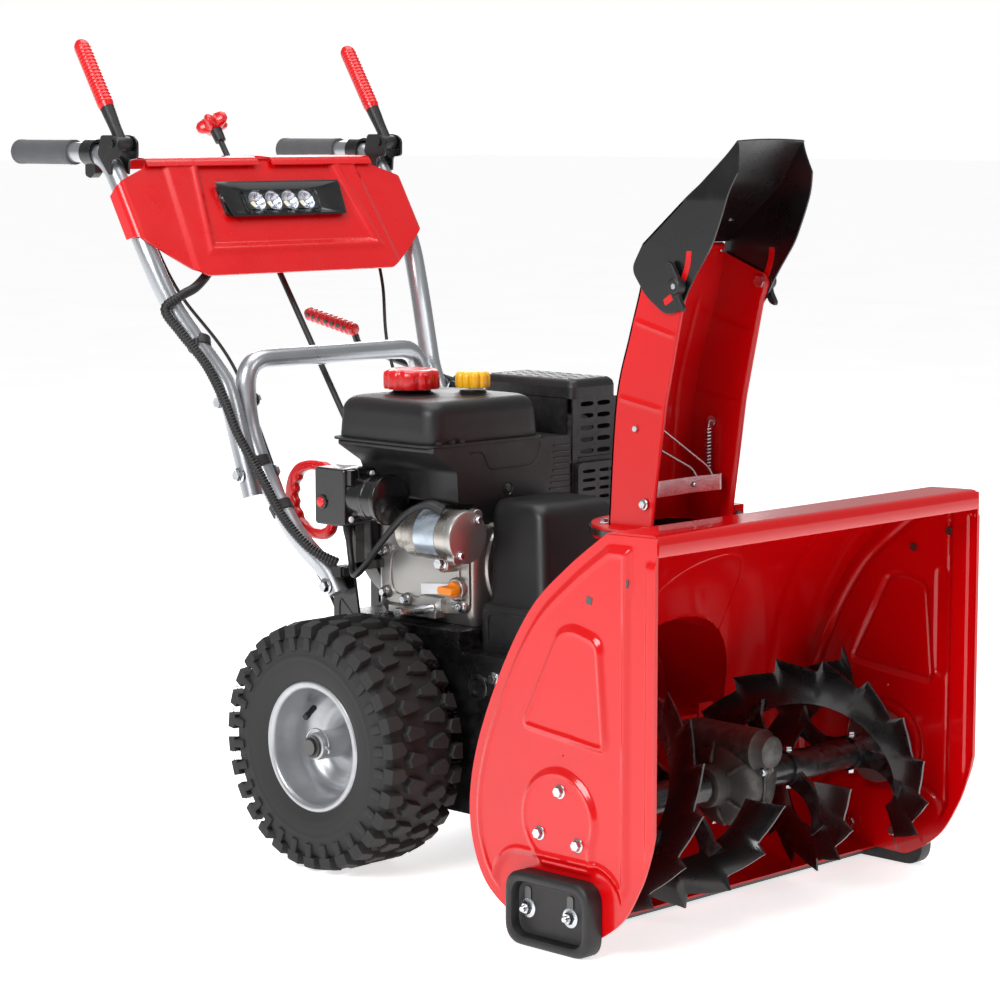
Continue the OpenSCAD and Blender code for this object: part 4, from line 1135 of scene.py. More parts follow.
        face = 1000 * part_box("skid_shoe_left")[1][0]
        lows = [(0, 310.6), (0, face - 4.5), (1.2, face - 1.6), (4, face), (8, face), (11, face - 1),
                (12.5, face - 4),
                (13.5, 322), (16, 320.6), (20, 320.4)]
        rows = [placed("x", outline(d), x) for d, x in lows]
        tray = Shape().grid(np.stack(rows), wrap_v=True, caps=True)
        slots = Shape()
        for y, z in self.shoe_bolts:
            slots.prism("x", rect(y - 5, y + 5, z - 6, z + 26, 4.9), 320.6, 321.6)
        for side, body in (("left", "shoe_left"), ("right", "shoe_right")):
            shell = tray if side == "left" else tray.mirrored()
            cuts = slots if side == "left" else slots.mirrored()
            shell.finish(f"skid_shoe_{side}_tray", body, PLASTIC, "black_plastic", f"skid_shoe_{side}",
                         sharp=40)
            cuts.finish(f"skid_shoe_{side}_slots", body, DARK_STEEL, "dark_steel")

    def top_plates(self) -> None:
        """Blank label plates on the top strip."""
        made = Shape()
        for x in (-245, -185, -125):
            made.prism("z", rect(x - 24, x + 24, -620, -586, 3), 505.3, 505.9)
        made.finish("blank_top_labels", "frame", GLOSS_PLASTIC, "black_gloss")
        wide = Shape()
        for lo, hi in ((-70, -38), (-28, 4), (14, 46), (56, 88), (150, 270)):
            wide.prism("z", rect(lo, hi, -618, -590, 3), 505.3, 505.8)
        wide.finish("blank_top_plates", "frame", LABEL, "silver_paint")


def turned_flat(points: Array, degrees: float) -> Array:
    """Points of a plane turned about its origin."""
    a = np.radians(degrees)
    return np.asarray(points) @ np.array([[np.cos(a), np.sin(a)], [-np.sin(a), np.cos(a)]])


def drum_cut(top: Array, low: Array, radius: float, height: float, lowest_y: float) -> Shape:
    """Two sheets of one grid joined at their borders, with a round hole along Y through both.

    Args:
        top: The first sheet's points, rows by columns.
        low: The second sheet's points.
        radius: The hole's radius round X = 0 and the given height.
        height: Height of its middle.
        lowest_y: Points in front of this are never cut.

    Returns:
        The closed plate with its hole.
    """
    gap = np.hypot(top[..., 0], top[..., 2] - height)
    cut = (gap < radius) & (top[..., 1] > lowest_y)
    middle = (top[:-1, :-1] + top[1:, :-1] + top[1:, 1:] + top[:-1, 1:]) / 4
    keep = ~((np.hypot(middle[..., 0], middle[..., 2] - height) < radius) & (middle[..., 1] > lowest_y))
    scale = np.where(cut, radius / np.maximum(gap, 1e-6), 1.0)
    moved = []
    for sheet in (top, low):
        out = sheet.copy()
        out[..., 0] = sheet[..., 0] * scale
        out[..., 2] = height + (sheet[..., 2] - height) * scale
        moved.append(out)
    return Shape().bordered(*moved, keep)


@dataclass
class Auger:
    """Toothed ribbons on arms, the shaft's tube and the gearbox between them."""

    y: float = -490.0
    z: float = 155.0
    outer: float = 138.0
    inner: float = 78.0
    start: float = 66.0
    end: float = 281.0
    turn: float = 250.0
    teeth: int = 10

    def ribbon(self, phase: float) -> Shape:
        """One ribbon: a helicoid whose outer edge is a saw.

        At angle a the point of radius r is (x(a), y + r cos a, z + r sin a); the outer radius
        falls along each tooth from its tip, and the strip dishes by a sine across its width.

        Args:
            phase: The turn at which it starts, in degrees.

        Returns:
            The piece as a shape.
        """
        steps = self.teeth * 12
        k = np.arange(steps + 1)
        share = k / steps
        a = np.radians(phase + self.turn * share)
        x = self.start + (self.end - self.start) * share
        saw = (k % 12) / 12.0
        outer = self.outer - 16 * np.clip(saw * 1.25, 0, 1) ** 0.75 * (k < steps)
        across = np.linspace(0, 1, 9)[None]
        r = self.inner + (outer[:, None] - self.inner) * across
        dish = 3.5 * np.sin(np.pi * across) - 2.0 * across
        sheets = [np.stack([x[:, None] + dish + t + 0 * r, self.y + r * np.cos(a[:, None]),
                            self.z + r * np.sin(a[:, None])],
                           axis=-1) for t in (-1.6, 1.6)]
        return Shape().slab(sheets[0], sheets[1])

    def arms(self, phase: float) -> Shape:
        """Flat forged arms from the tube to the ribbon, widening to a foot at the ribbon.

        Args:
            phase: The turn at which it starts, in degrees.

        Returns:
            The piece as a shape.
        """
        made = Shape()
        for share in (0.2, 0.8):
            x = self.start + (self.end - self.start) * share
            t = np.linspace(0, 1, 14)
            r = 15 + (self.inner + 12 - 15) * t
            half = 15 - 4 * np.sin(np.pi * t) + 7 * smooth(t, 0.8, 1.0)
            sweep = 10 * np.sin(np.pi * t)
            edge = np.stack([np.concatenate([sweep + half, (sweep - half)[::-1]]),
                             np.concatenate([r, r[::-1]])], axis=1)
            flat = turned_flat(edge, phase + self.turn * share - 90) + (self.y, self.z)
            made.prism("x", flat, x - 3, x + 3)
        return made

    def half(self) -> Shape:
        """The left auger, with its tube and collars.

        Returns:
            The piece as a shape.
        """
        made = Shape()
        for phase in (0, 180):
            made.joined(self.ribbon(phase)).joined(self.arms(phase))
        made.lathe([(60, 12.2), (60, 19), (61, 20), (286, 20), (287, 19), (287, 12.2)], (0, self.y, self.z),
                   (1, 0, 0),
                   36, ring=True)
        for share in (0.2, 0.8):
            x = self.start + (self.end - self.start) * share
            made.collar(x - 9, x + 9, (19.5, 23), (0, self.y, self.z), (1, 0, 0), 30)
        return made

    def gearbox(self) -> Shape:
        """Two cast halves that meet in a lobed flange, with necks for the shaft and the worm.

        Returns:
            The piece as a shape.
        """
        made = Shape()
        case = [(-58, 0), (-58, 22), (-56, 26), (-36, 27), (-33, 32), (-28, 46), (-22, 52), (-15, 54),
                (15, 54), (22, 52),
                (28, 46), (33, 32), (36, 27), (56, 26), (58, 22), (58, 0)]
        made.lathe(case, (0, self.y, self.z), (1, 0, 0), 56)
        t = TAU * np.arange(160) / 160
        lobes = 56 + 7.5 * np.clip(np.cos(8 * t + 2.8), 0, 1) ** 2
        edge = np.stack([self.y + lobes * np.cos(t), self.z + lobes * np.sin(t)], axis=1)
        made.prism("x", edge, -5, -0.4)
        made.prism("x", edge, 0.4, 5)
        neck = [(-556, 0), (-556, 17), (-554, 20), (-545, 22), (-538, 27), (-430, 27), (-424, 24), (-412, 22),
                (-412, 0)]
        made.lathe(neck, (0, 0, 200), (0, 1, 0), 40)
        for s in (-1, 1):
            for a in np.radians([35, 80, 145, 215, 260, 325]):
                d = np.array([0, np.cos(a), np.sin(a)])
                c = np.array([s * 36.0, self.y, self.z])
                made.ribbon(np.stack([c - (s * 2, 0, 0) + d * 27, c + d * 38 - (s * 5, 0, 0),
                                      c + d * 51 - (s * 14, 0, 0)]), 4, 9,
                            up=(1, 0, 0))
        return made

    def build(self) -> None:
        """Make the two augers, the gearbox and the bolts."""
        left = self.half()
        left.finish("auger_left_ribbons", "auger", AUGER_PAINT, "black_paint", "auger_left", sharp=30)
        left.mirrored().finish("auger_right_ribbons", "auger", AUGER_PAINT, "black_paint", "auger_right",
                               sharp=30)
        self.gearbox().finish("gearbox_casting", "frame", GEAR_CAST, "cast_aluminium", "gearbox_case",
                              bevel=0.5)
        gear_bolts = Shape()
        shear = Shape()
        for a in (np.arange(8) * 45 - 20):
            c, s = np.cos(np.radians(a)), np.sin(np.radians(a))
            at = (self.y + 59 * c, self.z + 59 * s)
            gear_bolts.bolt((5, *at), (1, 0, 0), 5.2, 5).bolt((-5, *at), (-1, 0, 0), 5.2, 6)
        gear_bolts.bolt((0, self.y - 40, self.z + 52), (0, -0.5, 0.8), 7, 6)
        for s in (-1, 1):
            for share in (0.2, 0.8):
                x = s * (self.start + (self.end - self.start) * share)
                shear.bolt((x, self.y, self.z + 22), (0, 0, 1), 6.5, 5).bolt((x, self.y, self.z - 22),
                                                                             (0, 0, -1), 6.5, 5)
        gear_bolts.finish("gearbox_bolts", "frame", ZINC, "zinc")
        shear.finish("auger_shear_bolts", "auger", ZINC, "zinc")


# ---------------------------------------------------------------- chute and deflector
@dataclass
class Chute:
    """The turning chute channel with its strap, rods, spring and flange."""

    half: float = 75.0
    sheet: float = 2.5
    front: list = field(default_factory=lambda: [(-421, 471), (-443, 628), (-470, 752), (-479, 776),
                                                 (-473, 786)])
    back: list = field(default_factory=lambda: [(-347, 471), (-358, 628), (-380, 712), (-398, 773),
                                                (-404, 812)])
    clamp: tuple = (-467, 776)
    strap_rise: float = 10.0

    def wall(self) -> Shape:
        """The left wall: rows run from the front edge to the back sheet, columns climb the chute.

        A point is front(s) + t (back(s) - front(s)); short ribs stand out where the sheet bends,
        each a bell across its height that fades towards the edges.

        Returns:
            The piece as a shape.
        """
        s = np.linspace(0, 1, 150)
        front, back = resampled(rounded(self.front, 7), 150), resampled(spline(self.back, 8), 150)
        t = np.linspace(0, 1, 40)[:, None, None]
        flat = front[None] + t * (back - front)[None]
        rib = sum(np.exp(-((s - c) / 0.007) ** 2) for c in (0.47, 0.76))[None]
        fade = smooth(t[..., 0], 0.04, 0.2) * (1 - smooth(t[..., 0], 0.85, 0.97))
        edge = 2.2 * (1 - smooth(t[..., 0], 0.0, 0.07))
        out = placed("x", flat, self.half + 1.6 * rib * fade + edge)
        inner = placed("x", flat, self.half - self.sheet + 1.6 * rib * fade + edge)
        return Shape().slab(out, inner)

    def back_sheet(self) -> Shape:
        """The curved back of the channel, with two long shallow grooves along it.

        Returns:
            The piece as a shape.
        """
        line = resampled(spline(self.back, 8), 150)
        normal = upright(line)
        x = np.linspace(-self.half, self.half, 64)
        ribs = sum(np.exp(-((x - c) / 4) ** 2) for c in (-38, 38))[None]
        depth = 1.4 * ribs * (smooth(line[:, 1], 500, 530) * (1 - smooth(line[:, 1], 740, 770)))[:, None]
        sheets = []
        for off in (0.0, self.sheet):
            flat = line[:, None] + normal[:, None] * (off - depth[..., None])
            sheets.append(spread(x, flat))
        return Shape().slab(*sheets)

    def build(self) -> None:
        """Make the channel, its flange, and the small parts in it."""
        red = Shape().joined(self.wall().both()).joined(self.back_sheet())
        red.frame("z", circle(101, 72, 0, -385), circle(68, 72, 0, -385), 468, 471.6)
        for s in (-1, 1):
            ends = sorted((s * 20.0, s * 66.0))
            red.lathe([(ends[0], 0), (ends[0], 5), (ends[1], 5), (ends[1], 0)], (0, -409, 819), (1, 0, 0), 24)
            red.cuboid((ends[0], -407, 800), (ends[1], -404.2, 819))
        red.finish("chute_channel", "chute_set", RED_DUCT, "red_paint", "chute", sharp=40)
        bright = Shape()
        for s in (-1, 1):
            bright.bolt((s * (self.half + 2.2), -408, 503), (s, 0, 0), 5.5, 3, washer=7)
            bright.bolt((s * (self.half + 0.6), -392, 596), (s, 0, 0), 4.5, 2.6)
        for a in (40, 140, 220, 320):
            at = (84 * np.cos(np.radians(a)), -385 + 84 * np.sin(np.radians(a)))
            bright.bolt((*at, 471.5), (0, 0, 1), 5.5, 4, washer=7.5)
        bright.finish("chute_bolts", "chute_set", ZINC, "zinc")
        self.guard().finish("chute_strap_rods_spring", "chute_set", ZINC, "zinc", "chute_guard", sharp=50)
        self.knobs()

    def guard(self) -> Shape:
        """The strap across the mouth, two bent rods and the coil spring.

        The spring's middle is (x + 5 cos a, y + 5 sin a, z0 + pitch a / 2 pi).

        Returns:
            The piece as a shape.
        """
        made = Shape()
        strap = rounded([(-72.3, -396, 520), (-71, -422, 522), (0, -423, 523), (58, -423, 522),
                         (71.5, -392, 522)], 9, 6)
        path = resampled(strap, 60)
        rise = np.array([0.0, 0.0, self.strap_rise])
        inward = path + unit(np.array([0.0, -384, 520]) - path) * 2.2
        made.slab(np.stack([path + rise, path - rise], axis=1),
                  np.stack([inward + rise, inward - rise], axis=1))
        for drop in (0, 30):
            rod = [(-72, -398, 612 - drop), (-60, -404, 606 - drop), (34 - drop, -416, 542),
                   (40 - drop, -419, 530)]
            made.tube(resampled(rounded(rod, 9), 30), 1.9, 10, up=(1, 0, 0))
        a = np.linspace(0, TAU * 13, 13 * 16)
        coil = np.stack([64 + 4.6 * np.cos(a), -391 + 4.6 * np.sin(a), 532 + 56 * a / (TAU * 13)], axis=1)
        made.tube(coil, 1.15, 6)
        made.tube(np.array([(64.0, -391, 588), (64, -391, 592), (66, -391, 596), (71, -391, 597)]), 1.5, 8,
                  up=(0, 1, 0))
        made.lathe([(0, 0), (0, 7), (2, 7), (3, 5), (3, 0)], (69, -391, 596), (1, 0, 0), 20)
        made.bolt((0, -424.4, 523), (0, -1, 0), 4, 2.4)
        return made

    def knobs(self) -> None:
        """Wing knobs that clamp the deflector: a hub with two swept wings, and a bolt."""
        wing = rounded([(-6, -5), (6, -5), (11, 8), (24, 17), (25, 22), (16, 23), (3, 14), (-4, 10)], 4, 4,
                       True)
        knob = Shape()
        y, z = self.clamp
        for turn in (25, 205):
            flat = turned_flat(wing, turn) + (y, z)
            knob.prism("x", flat, 84, 91)
        knob.lathe([(80.6, 3.5), (80.6, 11), (84, 12), (92, 10.5), (94, 8), (94, 3.5)], (0, y, z), (1, 0, 0),
                   32, ring=True)
        bolt = Shape().rod(69, 93, 3.5, (0, y, z), (1, 0, 0), 20)
        bolt.rod(68, 72.3, 8, (0, y, z), (1, 0, 0), 6)
        made = Shape().joined(knob.both())
        made.finish("deflector_wing_knobs", "chute_set", PLASTIC, "black_plastic", "deflector_knobs",
                    bevel=1.2)
        bolt.both().finish("deflector_clamp_bolts", "chute_set", ZINC, "zinc")


@dataclass
class Deflector:
    """The folded hood over the chute, with arc slots in its sides and a hinge strap."""

    half: float = 80.0
    sheet: float = 2.4
    hinge: tuple = (-409, 819)

    def side(self) -> Shape:
        """One side plate as a fan of rows from its lower edge to the fold, with the arc slot left out.

        Returns:
            The piece as a shape.
        """
        low = resampled(rounded([(-406, 826), (-387, 794), (-411, 762), (-443, 740), (-466, 745), (-489, 786),
                                 (-517, 826),
                                 (-533, 865), (-549, 913)], 12, 6), 120)
        high = resampled([(-406, 826), (-450, 862.5), (-494, 899), (-541, 952)], 120)
        t = np.linspace(0, 1, 40)[:, None, None]
        flat = low[None] + t * (high - low)[None]
        taper = 17.0 * smooth(flat[..., 1], 880, 950)
        out, inner = placed("x", flat, self.half - taper), placed("x", flat, self.half - taper - self.sheet)
        return Shape().slab(out, inner)

    def top(self) -> Shape:
        """The back sheet from the hinge up to the tip, creased along a line below the tip.

        Returns:
            The piece as a shape.
        """
        line = resampled(rounded([(-406, 826), (-494, 899), (-541, 952)], 5, 4), 60)
        width = (self.half - 17.0 * smooth(line[:, 1], 880, 950))[:, None]
        across = np.linspace(-1, 1, 24)[None]
        normal = upright(line)
        crown = 3.0 * (1 - across**2) * smooth(line[:, 1], 826, 860)[:, None]
        sheets = []
        for off in (0.0, self.sheet):
            flat = line[:, None] - normal[:, None] * (crown[..., None] - off)
            sheets.append(np.concatenate([(width * across)[..., None], flat], axis=-1))
        return Shape().slab(*sheets)

    def slot(self) -> Shape:
        """The dark arc slot of one side, a curved bar just proud of the plate on both faces.

        Returns:
            The piece as a shape.
        """
        a = np.radians(np.linspace(180, 243, 40))
        r = np.hypot(-467 + 409, 776 - 819)
        path = np.stack([self.hinge[0] + r * np.cos(a), self.hinge[1] + r * np.sin(a)], axis=1)
        spoke = np.stack([np.cos(a), np.sin(a)], axis=1) * 4.2
        edge = np.vstack([path + spoke, (path - spoke)[::-1]])
        return Shape().prism("x", rounded(resampled(edge, 90, True), 1, 1, True), self.half - 3.1,
                             self.half + 0.25)

    def build(self) -> None:
        """Make the hood, its slots and the hinge strap."""
        hood = Shape().joined(self.side().both()).joined(self.top())
        hood.collar(-18, 18, (2.6, 5), (0, *self.hinge), (1, 0, 0), 24)
        hood.cuboid((-18, -412, 819), (18, -406.5, 827.5))
        hood.finish("deflector_hood", "deflector_set", BLACK_PAINT, "black_paint", "deflector", sharp=30)
        pin = Shape().rod(-66, 66, 2.45, (0, *self.hinge), (1, 0, 0), 20)
        for x in (-48, 48):
            pin.bolt((x, -437, 853.5), (0, -0.64, 0.77), 5, 3)
        pin.finish("deflector_hinge_pin", "deflector_set", ZINC, "zinc")
        self.slot().both().finish("deflector_arc_slots", "deflector_set", RED_DUCT, "red_paint")


# ---------------------------------------------------------------- wheels
@dataclass
class Wheel:
    """A deep dished rim and a snow tyre with shoulder blocks, chevrons and moulding hairs."""

    outer: float = 165.0
    width: float = 130.0
    track: float = 422.0
    lugs: int = 30

    def rim(self) -> Shape:
        """The left rim, lathed from one closed section, with the hub and its spokeless dish.

        Returns:
            The piece as a shape.
        """
        h = self.width / 2 - 12
        section = [(-h - 4, 74), (-h - 4, 86), (-h - 1, 87.5), (-h, 85), (-h, 79), (-h + 14, 77), (-20, 70),
                   (20, 70),
                   (h - 14, 77), (h, 79), (h, 85), (h + 1, 87.5), (h + 4, 86), (h + 5, 82), (h + 3, 77),
                   (h - 12, 74),
                   (22, 67), (8, 66), (2, 62), (-3, 54), (-9, 46), (-10, 30), (-6, 22), (0, 19), (h - 3, 18),
                   (h, 16.5),
                   (h, 10.2), (-h, 10.2), (-h, 18), (-13, 19), (-14, 46), (-8, 57), (-3, 66), (-20, 67),
                   (-h + 14, 74)]
        fine = resampled(rounded(section, 4, 4, True), 180, True)
        return Shape().lathe(fine, (self.track / 2, 0, self.outer), (1, 0, 0), 72, ring=True)

    def casing(self) -> Shape:
        """The tyre's body: bead, bulging sidewall with raised rings, and a crowned tread.

        Returns:
            The piece as a shape.
        """
        h = self.width / 2
        half = [(h - 15, 78), (h - 11.5, 79), (h - 10.5, 84), (h - 8, 90), (h - 4.5, 98), (h - 2.6, 108),
                (h - 2.2, 116),
                (h - 1.4, 117), (h - 1.4, 121), (h - 2.4, 122), (h - 3.2, 132), (h - 6, 142), (h - 12, 150),
                (h - 24, 155),
                (0, 157)]
        outside = np.vstack([half, (np.array(half[:-1]) * (-1, 1))[::-1]])
        inside = np.array([(-h + 16, 84), (-h + 10, 110), (-h + 14, 140), (-20, 148), (20, 148),
                           (h - 14, 140),
                           (h - 10, 110), (h - 16, 84)], float)
        return Shape().lathe(np.vstack([resampled(outside, 150), inside]), (self.track / 2, 0, self.outer),
                             (1, 0, 0), 120,
                             ring=True)

    def blocks(self) -> Shape:
        """Tread blocks set round the casing: two shoulder rows and two staggered chevron rows.

        A block is an outline of (across, angle) carried from a lower radius to its top, where it
        is a little smaller; every copy is the same array turned by its own angle.

        Returns:
            The piece as a shape.
        """
        made = Shape()
        h = self.width / 2
        kinds = []
        for s in (-1, 1):
            kinds.append((s * np.array([h - 1.2, h - 20, h - 27, h - 22, h - 1.2]),
                          [-4.0, -4.0, 0.2, 2.2, 3.4], 146, 164.6, 0.0))
            kinds.append((s * np.array([h - 28, h - 36, 5, 2, 10, h - 32]), [-1.0, -4.6, -2.2, 0.6, 1.6, 2.6],
                          152, 164.9, 6.0))
        for across, angle, low, high, shift in kinds:
            across, angle = np.asarray(across, float), np.asarray(angle, float)
            rows = []
            for radius, shrink in ((low, 1.06), (high - 1.5, 0.97), (high, 0.86)):
                x = across.mean() + (across - across.mean()) * shrink
                a = angle.mean() + (angle - angle.mean()) * shrink
                drop = np.where(np.abs(x) > h - 14, (np.abs(x) - h + 14) * 0.35, 0) * (radius > low)
                rows.append(np.stack([x, a, np.full_like(x, radius) - drop], axis=-1))
            block = np.stack(rows)
            turn = (np.arange(self.lugs) + (0.5 if across.mean() > 0 else 0.0)) * 360 / self.lugs + shift
            self.around(made, block, turn)
        side = np.stack([np.stack([np.array([h - 1.9, h - 1.9, h - 1.9, h - 1.9]) + d,
                                   np.array([-2.7, 2.7, 2.2, -2.2]) * k,
                                   np.array([128, 128, 145, 145]) + e], axis=-1)
                         for d, k, e in ((-6, 1, 0), (1.2, 0.9, 0), (1.8, 0.7, 0.4))])
        for s in (-1, 1):
            flipped = side * np.array([s, 1, 1])
            self.around(made, flipped, (np.arange(self.lugs) + (0.5 if s > 0 else 0.0)) * 360 / self.lugs)
        return made

    def around(self, made: Shape, block: Array, turns: Array) -> None:
        """Add copies of one block of (x, degrees, radius) rows at each of the turns.

        Args:
            made: The shape that takes the copies.
            block: Rows of (x, degrees, radius).
            turns: The angles in degrees.
        """
        a = np.radians(block[None, ..., 1] + turns[:, None, None])
        r = block[None, ..., 2]
        x = np.broadcast_to(block[None, ..., 0], a.shape) + self.track / 2
        p = np.stack([x, r * np.cos(a), self.outer + r * np.sin(a)], axis=-1)
        n, rows, m = p.shape[:3]
        i, j = np.arange(rows - 1)[:, None], np.arange(m)[None]
        quads = np.stack([i * m + j, i * m + (j + 1) % m, (i + 1) * m + (j + 1) % m, (i + 1) * m + j],
                         axis=-1)
        start = (np.arange(n) * rows * m)[:, None]
        caps = np.concatenate([np.arange(m)[None, ::-1] + start, np.arange(m)[None] + start + (rows - 1) * m])
        made.add(p, (quads.reshape(1, -1, 4) + start[..., None]).reshape(-1, 4), caps)

    def hairs(self) -> Shape:
        """Thin moulding hairs on the shoulders: three sided spikes that lean at seeded angles.

        Returns:
            The piece as a shape.
        """
        rng = np.random.default_rng(7)
        n = 1000
        a = rng.uniform(0, TAU, n)
        side = rng.choice([-1.0, 1.0], n)
        lie = rng.uniform(0, 1, n)
        x = side * (self.width / 2 - 2 - 22 * lie**2)
        r = 150 + 12 * lie
        length = rng.uniform(4, 9, n) * np.where(lie > 0.35, 0.6, 1.0)
        spoke = np.stack([np.zeros(n), np.cos(a), np.sin(a)], axis=1)
        base = np.stack([x, r * np.cos(a), r * np.sin(a)], axis=1) + (self.track / 2, 0, self.outer)
        out = unit(spoke * (0.2 + lie)[:, None] + side[:, None] * np.array([0.9, 0, 0]) * (1 - lie)[:, None]
                   + rng.normal(0, 0.25, (n, 3)))
        u = unit(np.cross(out, [0.31, 0.52, 0.8]))
        v = np.cross(out, u)
        t = TAU * np.arange(3) / 3
        ring = base[:, None] + 0.6 * (u[:, None] * np.cos(t)[None, :, None] + v[:, None] * np.sin(t)[None, :,
                                                                                                     None])
        p = np.concatenate([ring, (base + out * length[:, None])[:, None]], axis=1)
        keep = np.linalg.norm(p[:, 3, 1:] - (0, self.outer), axis=1) < 169
        p = p[keep & (p[:, 3, 2] > 2)]
        p[..., 0] = np.clip(p[..., 0], self.track / 2 - 64.8, self.track / 2 + 64.8)
        start = (np.arange(len(p)) * 4)[:, None, None]
        tris = np.array([[0, 1, 3], [1, 2, 3], [2, 0, 3], [2, 1, 0]])[None] + start
        return Shape().add(p, tris.reshape(-1, 3))

    def build(self) -> None:
        """Make both wheels with their valves, hub plugs and pins."""
        rim, tyre, hairs = self.rim(), Shape().joined(self.casing()).joined(self.blocks()), self.hairs()
        x = self.track / 2
        small = Shape().lathe([(0, 0), (0, 4), (16, 3.6), (18, 4.4), (26, 4.4), (27, 3), (27, 0)],
                              (x + 12, 44, self.outer + 40), (0.8, -0.3, -0.3), 16)
        small.lathe([(53, 10.3), (53, 14.5), (55, 15), (57, 13), (57.5, 10.3)], (x, 0, self.outer), (1, 0, 0),
                    32, ring=True)
        pin = Shape().tube(np.array([(x + 46.0, -24, self.outer), (x + 46, 24, self.outer)]), 3, 12)
        t = np.linspace(-0.3, np.pi + 0.3, 24)
        pin.tube(np.stack([x + 46 + 0 * t, 22.5 * np.cos(t), self.outer + 22.5 * np.sin(t)], axis=1), 1.3, 8,
                 up=(1, 0, 0))
        for side, flip in (("left", False), ("right", True)):
            rim, tyre, hairs, small, pin = (part.mirrored() if flip else part
                                            for part in (rim, tyre, hairs, small, pin))
            rim.finish(f"rim_{side}_dish", "axle", RIM_PAINT, "rim_paint", f"rim_{side}", sharp=40)
            tyre.finish(f"tyre_{side}_tread", "axle", TYRE, "tyre_rubber", f"tyre_{side}", sharp=32)
            hairs.finish(f"tyre_{side}_hairs", "axle", TYRE, "tyre_rubber")
            small.finish(f"rim_{side}_valve_and_plug", "axle", RUBBER, "black_rubber")
            pin.finish(f"rim_{side}_linch_pin", "axle", ZINC, "zinc")


